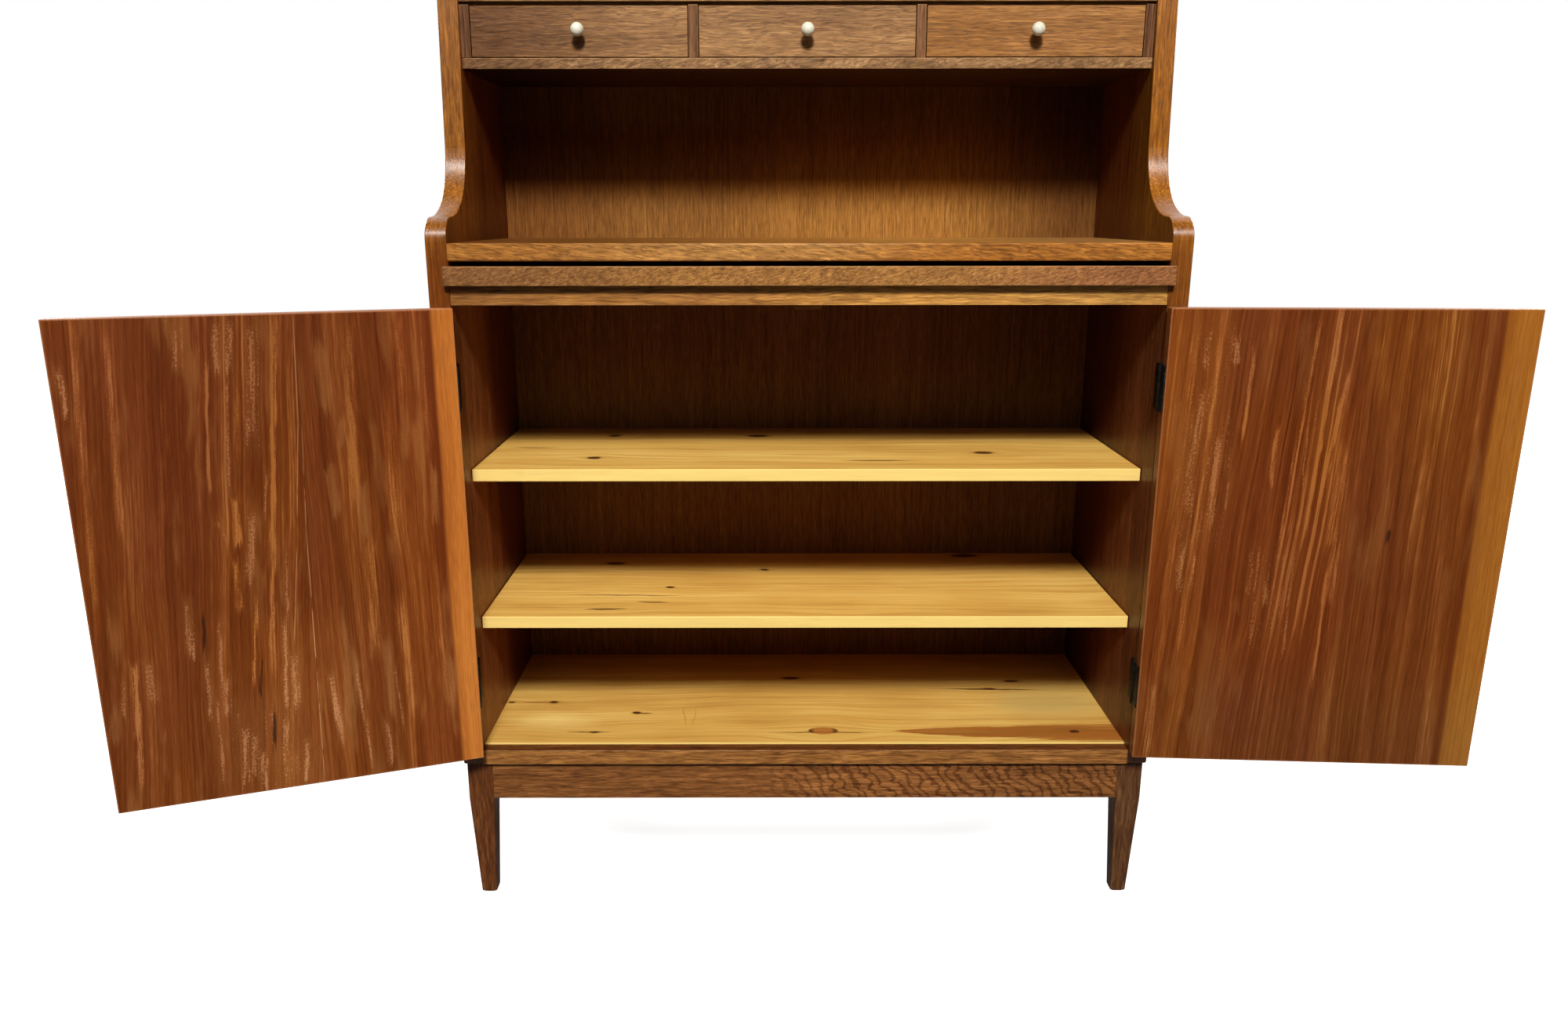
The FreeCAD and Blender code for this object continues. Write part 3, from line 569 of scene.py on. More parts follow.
def pine(node, seed, gain=1.0, knots=(), lines=(), wedges=(), eyes=(), patches=()):
    """Lacquered pine: growth lines that part round the knots, resin lines, and brown heartwood wedges."""
    graph = Graph("pine_" + node)
    x, y, z = graph.x, graph.y, graph.z
    low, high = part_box(node)
    wobble = graph.noise(graph.mul(x, 40.0), graph.mul(y, 60.0), seed, 3.0)
    wobble = graph.mul(graph.sub(wobble, 0.5), 6.0 * MM)
    across = y

    def oval(knot):
        off_x = graph.mul(graph.sub(x, knot[0] * MM), 1.0 / (knot[2] * MM))
        off_y = graph.mul(graph.sub(graph.add(y, wobble), knot[1] * MM), 1.0 / (knot[3] * MM))
        return graph.math("SQRT", graph.add(graph.mul(off_x, off_x), graph.mul(off_y, off_y)))

    gaps = [oval(knot) for knot in knots]
    eye_gaps = [oval(eye) for eye in eyes]
    for gap, knot in zip(gaps + eye_gaps, knots + eyes):
        push = graph.mul(graph.step(gap, 6.0, 0.5), graph.sub(y, knot[1] * MM), -0.75)
        across = graph.add(across, push)
    wander = graph.noise(graph.mul(x, 2.4), graph.mul(y, 7.0), seed)
    across = graph.add(across, graph.mul(graph.sub(wander, 0.5), 0.06), seed)

    def layer(lengthwise, crosswise, detail=2.0, rough=0.5):
        places = (graph.mul(x, lengthwise), graph.mul(across, crosswise), graph.mul(z, crosswise))
        return graph.sub(graph.noise(*places, detail, rough), 0.5)

    growth = layer(1.6, 190.0, 3.0, 0.6)
    broad = layer(1.1, 34.0)
    cloud = layer(6.0, 14.0, 3.0)
    fibre = layer(16.0, 800.0, 2.0)
    flecks = graph.step(layer(6.0, 300.0, 2.0), 0.14, 0.28)
    tone = graph.add(0.56, graph.mul(growth, 0.75), graph.mul(broad, 0.5), graph.mul(cloud, 0.7))
    tone = graph.add(tone, graph.mul(fibre, 0.4))
    finish = graph.ramp(tone, *[(place, shade(colour, gain, gain, gain)) for place, colour in PINE_TONES])
    rings = graph.step(graph.math("ABSOLUTE", layer(1.3, 85.0, 2.0)), 0.06, 0.0)
    finish = graph.tint(graph.mul(rings, graph.add(0.3, cloud)), finish, PINE_RING)
    finish = graph.blend(graph.mul(flecks, 0.35), finish, PINE_BROWN)
    for patch, colour in patches:
        spot = graph.mul(graph.step(oval(patch), 1.6, 0.2), graph.add(0.55, graph.mul(cloud, 1.5)))
        finish = graph.blend(spot, finish, colour)

    def run_of(mark):
        start_x, start_y, end_x, end_y = (value * MM for value in mark[:4])
        way = Vector((end_x - start_x, end_y - start_y, 0.0))
        off = graph.node("ShaderNodeVectorMath", graph.place, (start_x, start_y, 0.0), operation="SUBTRACT")
        along = graph.dot(off.outputs[0], way / way.length_squared)
        sideways = Vector((-way.y, way.x, 0.0)) / way.length
        return along, graph.math("ABSOLUTE", graph.add(graph.dot(off.outputs[0], sideways), wobble))

    for mark in wedges:
        along, beside = run_of(mark)
        widen = graph.most(graph.mul(graph.math("POWER", along, 0.6), mark[4] * MM), 1.2 * MM)
        ragged = graph.add(graph.math("DIVIDE", beside, widen), graph.mul(layer(5.0, 150.0, 3.0), 1.0))
        inside = graph.mul(graph.step(ragged, 1.1, 0.8), graph.step(along, -0.02, 0.05))
        heart = graph.blend(graph.step(layer(3.0, 90.0, 3.0), -0.12, 0.12), PINE_RED, PINE_BROWN)
        inside = graph.mul(inside, graph.add(0.95, graph.mul(layer(4.0, 130.0, 3.0), 1.2)))
        finish = graph.blend(inside, finish, heart)
    for mark in lines:
        along, beside = run_of(mark)
        taper = graph.mul(graph.step(along, 0.0, 0.4), graph.step(along, 1.0, 0.6), mark[4] * MM)
        thin = graph.step(graph.math("DIVIDE", beside, graph.most(taper, 0.05 * MM)), 1.3, 0.5)
        finish = graph.blend(graph.mul(thin, min(0.75, 0.45 * mark[4])), finish, PINE_KNOT)
    for gap, eye in zip(eye_gaps, eyes):
        finish = graph.blend(graph.mul(graph.step(gap, 1.15, 0.95), 0.85), finish, PINE_RED)
        ends = graph.step(graph.gap(x, eye[0] * MM), 0.55 * eye[2] * MM, 0.95 * eye[2] * MM)
        finish = graph.blend(graph.mul(ends, graph.step(gap, 1.25, 1.0), 0.8), finish, PINE_KNOT)
    if gaps:
        nearest = graph.least(*gaps, 9.0)
        finish = graph.blend(graph.mul(graph.step(nearest, 1.9, 0.9), 0.4), finish, PINE_BROWN)
        finish = graph.blend(graph.mul(graph.step(nearest, 1.1, 0.85), 0.95), finish, PINE_KNOT)
    front_edge = graph.step(y, low.y + 1.6 * MM, low.y + 0.6 * MM)
    finish = graph.blend(graph.mul(front_edge, 0.7), finish, PINE_PALE)
    # Painted shade: the rear strip of the board darkened.
    finish = graph.tint(graph.step(y, high.y - 110.0 * MM, high.y - 40.0 * MM), finish, PINE_REAR_SHADE)
    roughness = graph.add(0.38, graph.mul(growth, 0.2))
    return graph.finish(finish, roughness, graph.mul(fibre, 0.5), gloss=0.2)


def pale_wood(name, along, colour, seed):
    """Plain pale hardwood for the hidden parts of the drawers and the pegs."""
    graph = Graph(name)
    length, across, depth = along_grain(graph, along, seed)
    growth = graph.noise(graph.mul(length, 3.0), graph.mul(across, 140.0), graph.mul(depth, 140.0), 3.0)
    flecks = graph.noise(graph.mul(length, 90.0), graph.mul(across, 700.0), graph.mul(depth, 700.0), 1.0)
    dark = shade(colour, 0.72, 0.68, 0.62)
    finish = graph.ramp(growth, (0.30, dark), (0.70, shade(colour, 1.15, 1.18, 1.20)))
    dashes = graph.mul(graph.step(flecks, 0.60, 0.70), 0.35)
    finish = graph.blend(dashes, finish, shade(colour, 0.50, 0.42, 0.35))
    return graph.finish(finish, graph.add(0.5, graph.mul(growth, 0.15)), flecks, gloss=0.3)


def ivory():
    """Cream turned knobs with a soft shine and a little yellowing."""
    graph = Graph("ivory_knob")
    cloud = graph.noise(graph.mul(graph.x, 70.0), graph.mul(graph.y, 70.0), graph.mul(graph.z, 70.0), 3.0)
    finish = graph.ramp(cloud, (0.30, IVORY_DARK), (0.70, IVORY_PALE))
    spots = (graph.mul(graph.x, 900.0), graph.mul(graph.y, 900.0), graph.mul(graph.z, 260.0))
    scuffs = graph.noise(*spots, 2.0)
    roughness = graph.add(0.20, graph.mul(graph.step(scuffs, 0.55, 0.75), 0.2))
    graph.shader.inputs["Subsurface Weight"].default_value = 0.12
    graph.shader.inputs["Subsurface Radius"].default_value = (0.003, 0.002, 0.001)
    return graph.finish(finish, roughness, scuffs, 0.00005, 0.2, gloss=0.5)


def dark_steel():
    """Black finished steel of the hinges, with bare steel showing where it rubs."""
    graph = Graph("dark_steel")
    spots = (graph.mul(graph.x, 300.0), graph.mul(graph.y, 300.0), graph.mul(graph.z, 300.0))
    cloud = graph.noise(*spots, 4.0, 0.65)
    finish = graph.ramp(cloud, (0.35, STEEL_BLACK), (0.62, STEEL_DARK), (0.80, STEEL_WORN))
    graph.shader.inputs["Metallic"].default_value = 0.75
    return graph.finish(finish, graph.add(0.32, graph.mul(cloud, 0.3)), cloud, 0.0001, 0.3)


def put(node, material):
    nodes[node].data.materials.clear()
    nodes[node].data.materials.append(material)


# Eased edges
ARRIS = 0.8 * MM
LEG_ARRIS = 2.0 * MM
WELD_REACH = 0.02 * MM
FLAT_ANGLE = math.radians(0.5)
SHARP_ANGLE = math.radians(50.0)


def ease_edges(node, width):
    """Takes the sharp arrises off a board."""
    board = nodes[node]
    weld = board.modifiers.new("weld", "WELD")
    weld.merge_threshold = WELD_REACH
    flat = board.modifiers.new("flat", "DECIMATE")
    flat.decimate_type = "DISSOLVE"
    flat.angle_limit = FLAT_ANGLE
    arris = board.modifiers.new("arris", "BEVEL")
    arris.width = width
    arris.segments = 2
    arris.limit_method = "ANGLE"
    arris.angle_limit = SHARP_ANGLE
    arris.harden_normals = True


# Drifts of colour: what the colour is multiplied by, and the ranges it comes in over, in millimetres; some
# of them are painted light and shade, as marked
WORKTOP_TOP = ("y", -168.5, -166.5)
WORKTOP_FRONT = ("y", -166.5, -168.5)
WORKTOP_DRIFT = (
    ((0.47, 0.41, 0.34), WORKTOP_TOP, ("x", 60, -340)),
    ((1.23, 1.38, 1.50), WORKTOP_TOP, ("x", 20, 120)),
    ((0.83, 0.86, 1.12), WORKTOP_TOP, ("x", 200, 380)),
    ((1.11, 1.30, 1.75), WORKTOP_FRONT),
    ((0.72, 0.60, 0.42), WORKTOP_FRONT, ("x", -100, -380)),
    ((0.87, 0.70, 0.44), WORKTOP_FRONT, ("x", -20, 180)),
)
LIP_DRIFT = (((0.64, 0.61, 0.75), ("x", -120, -400)), ((0.92, 0.82, 1.15), ("x", 120, 400)))
RAIL_DRIFT = (
    ((0.78, 0.75, 0.78), ("x", -250, -420)),
    ((1.52, 1.70, 1.60), ("x", -90, 90)),
    ((1.03, 1.10, 1.20), ("x", 100, 400)),
)
RAIL_TOP = (((0.38, 0.28, 0.235), ("z", 218.0, 218.8)),)
APRON_DRIFT = (((1.18, 1.20, 1.20), ("x", -130, 60)), ((0.84, 0.84, 0.84), ("x", 120, 260)))
# Faces in the gaps round the drawers, a few millimetres behind their fronts, darkened: painted shade.
GAP_SHADE = ((0.12, 0.08, 0.06), ("y", -40.6, -39.8), ("y", -33, -36))
CASE_DRIFT_AND_SHADE = (
    GAP_SHADE,
    ((0.48, 0.42, 0.40), ("x", -200, -400)),
    # The underside of the drawer case's bottom darkened: painted shade.
    ((0.25, 0.18, 0.12), ("z", 1075.4, 1074.6)),
)
LEFT_DRAWER_DRIFT = (GAP_SHADE, ((2.15, 2.60, 2.80), ("x", -400, -150)))
RIGHT_DRAWER_DRIFT = (GAP_SHADE, ((1.07, 1.12, 1.38), ("x", 200, 320)))
BELOW_TOP = ("z", 860, 845)
ABOVE_TOP = ("z", 845, 860)
DEPTH = ("y", -95, 55)
LOWER_SIDE = ("z", 910, 840)
LEFT_EDGE_DRIFT = (((0.546, 0.403, 0.346), LOWER_SIDE),)
# Inner walls: lighter near the front and darker toward the rear of the cupboard and of the niche, painted
# light and shade.
LEFT_WALL_DRIFT_AND_SHADE = (
    ((0.450, 0.332, 0.298), LOWER_SIDE),
    ((2.51, 3.27, 9.32), BELOW_TOP),
    ((0.31, 0.216, 0.32), BELOW_TOP, DEPTH),
    ((1.28, 1.14, 1.19), ABOVE_TOP),
    ((0.50, 0.39, 0.56), ABOVE_TOP, DEPTH),
)
RIGHT_EDGE_DRIFT = (((0.725, 0.652, 0.98), LOWER_SIDE),)
RIGHT_WALL_DRIFT_AND_SHADE = (
    ((0.690, 0.620, 0.93), LOWER_SIDE),
    ((0.934, 1.05, 2.98), BELOW_TOP),
    ((0.31, 0.206, 0.30), BELOW_TOP, DEPTH),
    ((0.83, 1.03, 1.37), ABOVE_TOP),
    ((0.56, 0.38, 0.63), ABOVE_TOP, DEPTH),
)
BACK_FRONT = ("y", 165, 163)
BACK_REAR = ("y", 163, 165)
# Back of the niche: darker upward under the drawer case and across the edge of its shadow, painted shade;
# darker toward the left and right ends. Its rear face is its own colour.
NICHE_DRIFT_AND_SHADE = (
    ((0.70, 0.68, 0.66), BACK_FRONT, ("z", 920, 1060)),
    ((0.80, 0.66, 0.42), BACK_FRONT, ("z", 912, 945), ("z", 1045, 1000)),
    ((0.66, 0.54, 0.68), BACK_FRONT, ("z", 985, 1050), ("x", -250, 0)),
    ((0.76, 0.73, 0.77), BACK_FRONT, ("x", 50, -150)),
    ((0.63, 0.53, 0.48), BACK_FRONT, ("x", -200, -400)),
    ((0.37, 0.32, 0.33), BACK_FRONT, ("x", 200, 400)),
    ((0.58, 0.55, 0.75), BACK_REAR),
)
CUPBOARD_BACK_DRIFT = (
    ((1.10, 1.15, 1.05), BACK_FRONT, ("x", -80, -260)),
    ((0.78, 0.78, 0.88), BACK_FRONT, ("x", 120, 320)),
    ((0.78, 0.65, 0.80), BACK_FRONT, ("z", 630, 720)),
    ((1.16, 1.12, 1.03), BACK_REAR),
)
MATT = {"gloss": 0.08, "rough": 0.55}
PLAIN = dict(MATT, wear=0.0, figure=0.55, bands=14.0, lines=(4.0, 190.0), dashes=0.35, curl=5.0, crisp=0.25)
SIDE = {"wear": 0.0, "figure": 0.85, "curl": 4.0, "lines": (5.0, 300.0), "crisp": 0.5}
SIDE_EDGE = dict(SIDE, gloss=0.7, rough=0.33, sheen=0.75)
SIDE_WALL = dict(SIDE, gloss=0.078, rough=0.33)
SIDE_OUTER = dict(SIDE, **MATT)
FINE = {"figure": 0.8, "curl": 7.0, "lines": (14.0, 310.0), "wear": 0.6}
DRAWER = {"figure": 0.75, "crisp": 0.5, "lines": (20.0, 400.0), "curl": 10.0, "wear": 0.15}
CASE_LINES = {"figure": 1.5, "lines": (6.0, 330.0), "curl": 3.0, "wear": 0.2, "tints": (GAP_SHADE,)}

# Boards: grain direction, mean colour, spot of the grain, and what sets each one apart
BOARDS = {
    "worktop": ("x", WORKTOP, 1, dict(FINE, slant=0.10, tints=WORKTOP_DRIFT)),
    "leaf_lip": ("x", LIP, 2, dict(FINE, slant=-0.30, tints=LIP_DRIFT)),
    "leaf_panel": ("x", LEAF, 3, {"figure": 0.9}),
    "leaf_rear_batten": ("x", LEAF, 4, {}),
    "top_rail": ("x", RAIL, 5, {"figure": 0.8, "dashes": 0.3, "lines": (14.0, 260.0), "tints": RAIL_DRIFT}),
    "bottom_rail": ("x", BOTTOM_RAIL, 6, {"figure": 0.9, "tints": RAIL_TOP}),
    "door_stop": ("x", SIDE_LEFT, 7, {}),
    "drawer_case_bottom": ("x", CASE, 8, {"slant": -0.25, "curl": 12.0, "tints": CASE_DRIFT_AND_SHADE}),
    "drawer_case_side_left": ("z", CASE_SIDE, 9, CASE_LINES),
    "drawer_case_side_right": ("z", CASE_SIDE, 10, CASE_LINES),
    "drawer_divider_left": ("z", DIVIDER, 11, CASE_LINES),
    "drawer_divider_right": ("z", DIVIDER, 12, CASE_LINES),
    "fixed_shelf": ("x", CASE, 13, {"curl": 12.0}),
    "book_shelf": ("x", CASE, 14, {"curl": 12.0}),
    "top_board": ("x", CASE, 15, dict(MATT, curl=12.0)),
    "drawer_front_left": ("x", DRAWER_LEFT, 16, dict(DRAWER, tints=LEFT_DRAWER_DRIFT)),
    "drawer_front_middle": ("x", DRAWER_MIDDLE, 17, dict(DRAWER, tints=(GAP_SHADE,))),
    "drawer_front_right": ("x", DRAWER_RIGHT, 18, dict(DRAWER, curl=7.0, tints=RIGHT_DRAWER_DRIFT)),
    "apron_front": ("x", APRON, 19, {"wild": (-130, 60), "figure": 0.9, "tints": APRON_DRIFT}),
    "apron_rear": ("x", APRON, 20, {}),
    "apron_left": ("y", APRON, 21, {}),
    "apron_right": ("y", APRON, 22, {}),
    "leg_front_left": ("z", LEG_LEFT, 23, {"wear": 0.0}),
    "leg_front_right": ("z", LEG_RIGHT, 24, {"wear": 0.0}),
    "leg_rear_left": ("z", LEG_LEFT, 25, {"wear": 0.0}),
    "leg_rear_right": ("z", LEG_RIGHT, 26, {"wear": 0.0}),
    "side_left": ("z", SIDE_LEFT, 27, dict(SIDE_EDGE, tints=LEFT_EDGE_DRIFT)),
    "side_right": ("z", SIDE_RIGHT, 28, dict(SIDE_EDGE, tints=RIGHT_EDGE_DRIFT)),
    "back_panel_lower": ("z", BACK_LOWER_SHADED, 29, dict(PLAIN, tints=CUPBOARD_BACK_DRIFT)),
    "back_panel_upper": ("z", BACK_UPPER, 30, dict(PLAIN, lines=(4.0, 260.0), tints=NICHE_DRIFT_AND_SHADE)),
    "drawer_case_top": ("x", BACK_UPPER, 31, {"wear": 0.0}),
}
for node, (along, colour, seed, rest) in BOARDS.items():
    put(node, timber(node, along, colour, seed, **rest))

# Side panels: only their front edges and scrolls are glossy
FLAT = 0.9
# The inner walls take painted light and shade from their drifts: lighter at the front, darker toward the
# rear.
WALLS = {"left": (-1.0, WALL_LEFT, 27, LEFT_WALL_DRIFT_AND_SHADE), "right": (1.0, WALL_RIGHT, 28, RIGHT_WALL_DRIFT_AND_SHADE)}
for side, (outward, colour, seed, drift) in WALLS.items():
    panel = nodes["side_" + side].data
    panel.materials.append(timber("wall_" + side, "z", colour, seed, **dict(SIDE_WALL, tints=drift)))
    panel.materials.append(timber("outer_" + side, "z", SIDE_FACE, seed, **SIDE_OUTER))
    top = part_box("side_" + side)[1].z - 1.0 * MM
    for face in panel.polygons:
        if face.normal.x * outward < -FLAT:
            face.material_index = 1
        elif face.normal.x * outward > FLAT or face.normal.y > FLAT or face.center.z > top:
            face.material_index = 2

LEFT_DOOR_DRIFT = (
    ((0.87, 0.82, 0.76), ("z", 540, 640), ("u", 70, 100), ("u", 350, 320)),
    ((1.14, 1.10, 1.00), ("u", 320, 350)),
    ((1.16, 1.25, 1.40), ("z", 520, 330)),
    ((1.27, 1.35, 1.30), ("z", 470, 400), ("u", 130, 190), ("u", 300, 240)),
)
RIGHT_DOOR_DRIFT = (
    ((1.22, 1.28, 1.12), ("u", 95, 60)),
    ((1.00, 0.95, 0.74), ("u", 70, 100), ("u", 240, 220), ("z", 720, 660), ("z", 300, 370)),
    ((0.99, 1.13, 1.45), ("z", 380, 270)),
    ((1.02, 1.10, 1.05), ("u", 220, 245)),
)

# Doors: spot of the grain, seam, tilts of the leaves, sapwood band and its gain, wear, marks, drifts
LEFT_SAP = (1.33, 1.36, 1.45)
RIGHT_SAP = (1.03, 1.07, 0.90)
left_door = (0.0, (247, 227), (0.085, 0.0), (25, 27), LEFT_SAP, 1.0, LEFT_MARKS, LEFT_DOOR_DRIFT)
right_door = (1.7, (227, 216), (0.055, 0.0), (40, 37), RIGHT_SAP, 0.4, RIGHT_MARKS, RIGHT_DOOR_DRIFT)
put("door_left", door_veneer("left", *left_door))
put("door_right", door_veneer("right", *right_door))

# The gains make the lower shelf and the bottom darker than the upper shelf: painted shade for the light
# falling off lower down.
put("cupboard_shelf_upper", pine("cupboard_shelf_upper", 0.31, 1.02, UPPER_KNOTS, UPPER_LINES))
put("cupboard_shelf_lower", pine("cupboard_shelf_lower", 0.77, 0.97, LOWER_KNOTS, LOWER_LINES))
bottom_marks = (BOTTOM_KNOTS, BOTTOM_LINES, BOTTOM_WEDGES, BOTTOM_EYES, BOTTOM_PATCHES)
put("cupboard_bottom", pine("cupboard_bottom", 1.43, 0.86, *bottom_marks))
for side, seed in (("left", 2.1), ("right", 2.6)):
    put("leaf_runner_" + side, pine("leaf_runner_" + side, seed))

drawer_wood = pale_wood("drawer_wood", "x", DRAWER_WOOD, 3)
drawer_sides = pale_wood("drawer_side_wood", "y", DRAWER_WOOD, 5)
peg_wood = pale_wood("peg_wood", "x", PEG_WOOD, 7)
ivory_finish = ivory()
steel_finish = dark_steel()
for which in ("left", "middle", "right"):
    put("drawer_sides_" + which, drawer_sides)
    put("drawer_back_" + which, drawer_wood)
    put("drawer_bottom_" + which, drawer_wood)
    put("drawer_knob_" + which, ivory_finish)
for which in ("left", "right"):
    put("door_knob_" + which, ivory_finish)
    put("hinge_door_leaves_" + which, steel_finish)
for node in ("hinge_jamb_leaves", "hinge_pins"):
    put(node, steel_finish)
for node in ("book_shelf_pegs", "cupboard_shelf_pegs"):
    put(node, peg_wood)

for node in list(BOARDS) + ["door_left", "door_right", "cupboard_shelf_upper", "cupboard_shelf_lower"]:
    if node.startswith("leg"):
        ease_edges(node, LEG_ARRIS)
    elif not node.startswith("side"):
        ease_edges(node, ARRIS)


# Screws of the hinges and pins of the back panels
HINGE_LEVELS = (0.3165, 0.6985)
SCREW_OFFSETS = (-18.0 * MM, 0.0, 18.0 * MM)
SCREW_FROM_PIVOT = 11.0 * MM
JAMB_LEAF_FACE = 0.4235
DOOR_LEAF_FACE = 0.3 * MM
SCREW_RADIUS = 2.3 * MM
SCREW_TAPER = 0.92
SCREW_HEIGHT = 0.3 * MM
SLOT = (1.8 * MM, 0.32 * MM, 0.2 * MM)
PIN_RADIUS = 1.7 * MM
PIN_HEIGHT = 0.7 * MM
PIN_SPACING = 0.115
PIN_MARGIN = 5.0 * MM
HEAD_TURN = 1.9


def screw_head():
    """A flat round head with a slot, standing on its origin."""
    head = bmesh.new()
    stand = Matrix.Translation((0.0, 0.0, SCREW_HEIGHT / 2))
    bmesh.ops.create_cone(
        head, cap_ends=True, segments=24, radius1=SCREW_RADIUS, radius2=SCREW_TAPER * SCREW_RADIUS,
        depth=SCREW_HEIGHT, matrix=stand,
    )
    half_length, half_width, depth = SLOT
    for direction, half in ((Vector((1, 0, 0)), half_length), (Vector((0, 1, 0)), half_width)):
        for sign in (-1.0, 1.0):
            everything = head.verts[:] + head.edges[:] + head.faces[:]
            spot = direction * half * sign
            bmesh.ops.bisect_plane(head, geom=everything, plane_co=spot, plane_no=direction)
    upper = [face for face in head.faces if face.normal.z > FLAT]
    middle = [face for face in upper if face.calc_center_median().xy.length < half_width]
    sunk = bmesh.ops.extrude_face_region(head, geom=middle)["geom"]
    bmesh.ops.delete(head, geom=middle, context="FACES")
    for vertex in (item for item in sunk if isinstance(item, bmesh.types.BMVert)):
        vertex.co.z -= depth
    return head


def pin_head():
    """A low dome, standing on its origin."""
    head = bmesh.new()
    squat = Matrix.Diagonal((1.0, 1.0, PIN_HEIGHT / PIN_RADIUS, 1.0))
    bmesh.ops.create_uvsphere(head, u_segments=14, v_segments=8, radius=PIN_RADIUS, matrix=squat)
    return head


def fasteners(name, head, places, normal, body):
    """One piece of many like heads, each turned its own way about the normal."""
    pattern = bpy.data.meshes.new(name + "_pattern")
    head.to_mesh(pattern)
    head.free()
    whole = bmesh.new()
    upright = normal.to_track_quat("Z", "Y").to_matrix().to_4x4()
    for index, place in enumerate(places):
        copied = bmesh.new()
        copied.from_mesh(pattern)
        copied.transform(Matrix.Translation(place) @ upright @ Matrix.Rotation(HEAD_TURN * index, 4, "Z"))
        one = bpy.data.meshes.new(name + "_one")
        copied.to_mesh(one)
        copied.free()
        whole.from_mesh(one)
        bpy.data.meshes.remove(one)
    bpy.data.meshes.remove(pattern)
    mesh = bpy.data.meshes.new(name)
    whole.to_mesh(mesh)
    whole.free()
    piece = bpy.data.objects.new(name, mesh)
    bpy.context.scene.collection.objects.link(piece)
    mesh.materials.append(steel_finish)
    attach(piece, body)


for side, outward in (("left", -1.0), ("right", 1.0)):
    pivot, reach, inward, near, far = door_span(side)
    levels = [level + offset for level in HINGE_LEVELS for offset in SCREW_OFFSETS]
    jamb_y = pivot.y + SCREW_FROM_PIVOT
    jamb_places = [Vector((outward * JAMB_LEAF_FACE, jamb_y, level)) for level in levels]
    to_middle = Vector((-outward, 0.0, 0.0))
    fasteners("hinge_jamb_screws_" + side, screw_head(), jamb_places, to_middle, "carcass")
    leaf_spot = pivot - reach * DOOR_LEAF_FACE + inward * SCREW_FROM_PIVOT
    door_places = [Vector((leaf_spot.x, leaf_spot.y, level)) for level in levels]
    fasteners("hinge_door_screws_" + side, screw_head(), door_places, -reach, "door_" + side)


def pin_places():
    """Along the edges of both back panels, where they lie on the carcass."""
    places = []
    for node in ("back_panel_lower", "back_panel_upper"):
        low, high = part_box(node)
        rows = round((high.z - low.z) / PIN_SPACING)
        for row in range(rows + 1):
            level = low.z + PIN_MARGIN + (high.z - low.z - 2 * PIN_MARGIN) * row / rows
            places += [Vector((sign * (high.x - PIN_MARGIN), high.y, level)) for sign in (-1.0, 1.0)]
        columns = round((high.x - low.x) / PIN_SPACING)
        for column in range(1, columns):
            across = low.x + (high.x - low.x) * column / columns
            levels = (low.z + PIN_MARGIN, high.z - PIN_MARGIN)
            places += [Vector((across, high.y, level)) for level in levels]
    return places


fasteners("back_panel_pins", pin_head(), pin_places(), Vector((0.0, 1.0, 0.0)), "carcass")


# Camera
view = bpy.data.cameras.new("camera")
view.lens = LENS
view.sensor_width = SENSOR
view.shift_x = SHIFT_X
view.clip_start = 0.05
camera = bpy.data.objects.new("camera", view)
turn = Matrix.Rotation(math.radians(CAMERA_YAW), 4, "Z")
turn = turn @ Matrix.Rotation(math.radians(CAMERA_TILT), 4, "X")
turn = turn @ Matrix.Rotation(math.radians(CAMERA_ROLL), 4, "Z")
camera.matrix_world = Matrix.Translation(CAMERA_PLACE) @ turn
bpy.context.scene.collection.objects.link(camera)
bpy.context.scene.camera = camera


def lamp(name, place, size, power, colour):
    light = bpy.data.lights.new(name, "AREA")
    light.shape = "DISK"
    light.size = size
    light.energy = power
    light.color = colour
    holder = bpy.data.objects.new(name, light)
    aim = (AIM - place).to_track_quat("-Z", "Y").to_matrix().to_4x4()
    holder.matrix_world = Matrix.Translation(place) @ aim
    holder.visible_camera = False
    bpy.context.scene.collection.objects.link(holder)


lamp("key", KEY_PLACE, KEY_SIZE, KEY_POWER, KEY_COLOUR)
lamp("glow", GLOW_PLACE, GLOW_SIZE, GLOW_POWER, KEY_COLOUR)
for side, place in zip(("left", "right"), REAR_PLACES):
    lamp("rear_" + side, place, REAR_SIZE, REAR_POWER, REAR_COLOUR)


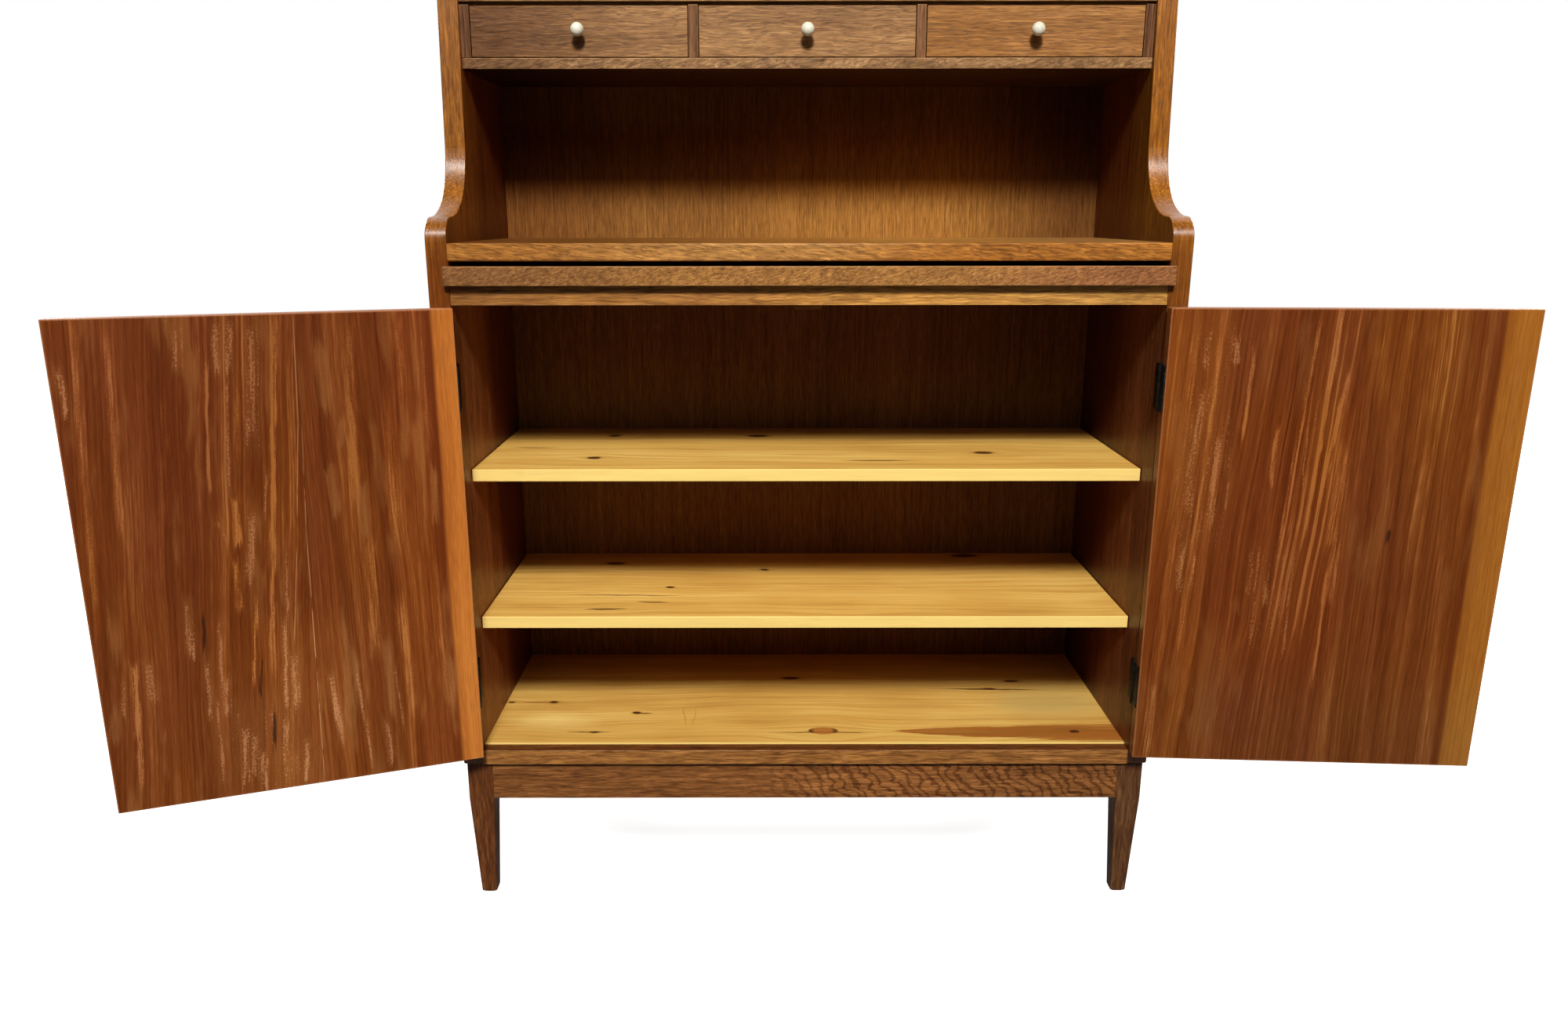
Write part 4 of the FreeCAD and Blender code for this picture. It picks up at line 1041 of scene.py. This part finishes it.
def white_world():
    """White behind the object, as the camera sees it, and a dim even light on the object."""
    world = bpy.data.worlds.new("studio")
    world.use_nodes = True
    bpy.context.scene.world = world
    tree = world.node_tree
    tree.nodes.clear()
    rays = tree.nodes.new("ShaderNodeLightPath")
    direction = tree.nodes.new("ShaderNodeTexCoord")
    parts = tree.nodes.new("ShaderNodeSeparateXYZ")
    tree.links.new(direction.outputs["Generated"], parts.inputs[0])
    behind = tree.nodes.new("ShaderNodeMapRange")
    behind.inputs["From Min"].default_value, behind.inputs["From Max"].default_value = BEHIND
    tree.links.new(parts.outputs["Y"], behind.inputs["Value"])
    mirrored = tree.nodes.new("ShaderNodeMath")
    mirrored.operation = "MULTIPLY"
    tree.links.new(rays.outputs["Is Glossy Ray"], mirrored.inputs[0])
    tree.links.new(behind.outputs[0], mirrored.inputs[1])
    seen = mirrored
    for kind in ("Is Camera Ray", "Is Transmission Ray"):
        either = tree.nodes.new("ShaderNodeMath")
        either.operation = "MAXIMUM"
        tree.links.new(rays.outputs[kind], either.inputs[0])
        tree.links.new(seen.outputs[0], either.inputs[1])
        seen = either
    dim = tree.nodes.new("ShaderNodeBackground")
    dim.inputs["Color"].default_value = AMBIENT_COLOUR
    dim.inputs["Strength"].default_value = AMBIENT
    white = tree.nodes.new("ShaderNodeBackground")
    white.inputs["Color"].default_value = WHITE
    white.inputs["Strength"].default_value = 1.0
    either = tree.nodes.new("ShaderNodeMixShader")
    tree.links.new(seen.outputs[0], either.inputs[0])
    tree.links.new(dim.outputs[0], either.inputs[1])
    tree.links.new(white.outputs[0], either.inputs[2])
    out = tree.nodes.new("ShaderNodeOutputWorld")
    tree.links.new(either.outputs[0], out.inputs[0])


def pale_floor():
    """A white floor that keeps the object's shadow and throws little light back up."""
    mesh = bpy.data.meshes.new("floor")
    half = FLOOR_SIZE / 2
    corners = [(-half, -half, 0.0), (half, -half, 0.0), (half, half, 0.0), (-half, half, 0.0)]
    mesh.from_pydata(corners, [], [(0, 1, 2, 3)])
    floor = bpy.data.objects.new("floor", mesh)
    bpy.context.scene.collection.objects.link(floor)
    graph = Graph("floor_white")
    tree = graph.tree
    rays = graph.node("ShaderNodeLightPath")
    mirrored = graph.mul(rays.outputs["Is Glossy Ray"], graph.step(graph.y, *BEHIND))
    seen = graph.most(rays.outputs["Is Camera Ray"], rays.outputs["Is Transmission Ray"], mirrored)
    bounce = graph.node("ShaderNodeBsdfDiffuse", (FLOOR_BOUNCE,) * 3)
    lit = graph.node("ShaderNodeBsdfDiffuse", (FLOOR_WHITE,) * 3)
    reach = graph.node("ShaderNodeVectorMath", graph.place, operation="LENGTH").outputs["Value"]
    level = graph.add(FLOOR_GLOW, graph.mul(graph.step(reach, *SHADOW_REACH), 1.0 - FLOOR_GLOW))
    glow = graph.node("ShaderNodeEmission", (1.0, 1.0, 1.0), level)
    shown = graph.node("ShaderNodeAddShader", lit.outputs[0], glow.outputs[0])
    either = graph.node("ShaderNodeMixShader", seen, bounce.outputs[0], shown.outputs[0])
    tree.links.new(either.outputs[0], tree.nodes["Material Output"].inputs["Surface"])
    mesh.materials.append(graph.material)


white_world()
pale_floor()
bpy.context.scene.view_settings.view_transform = "Standard"
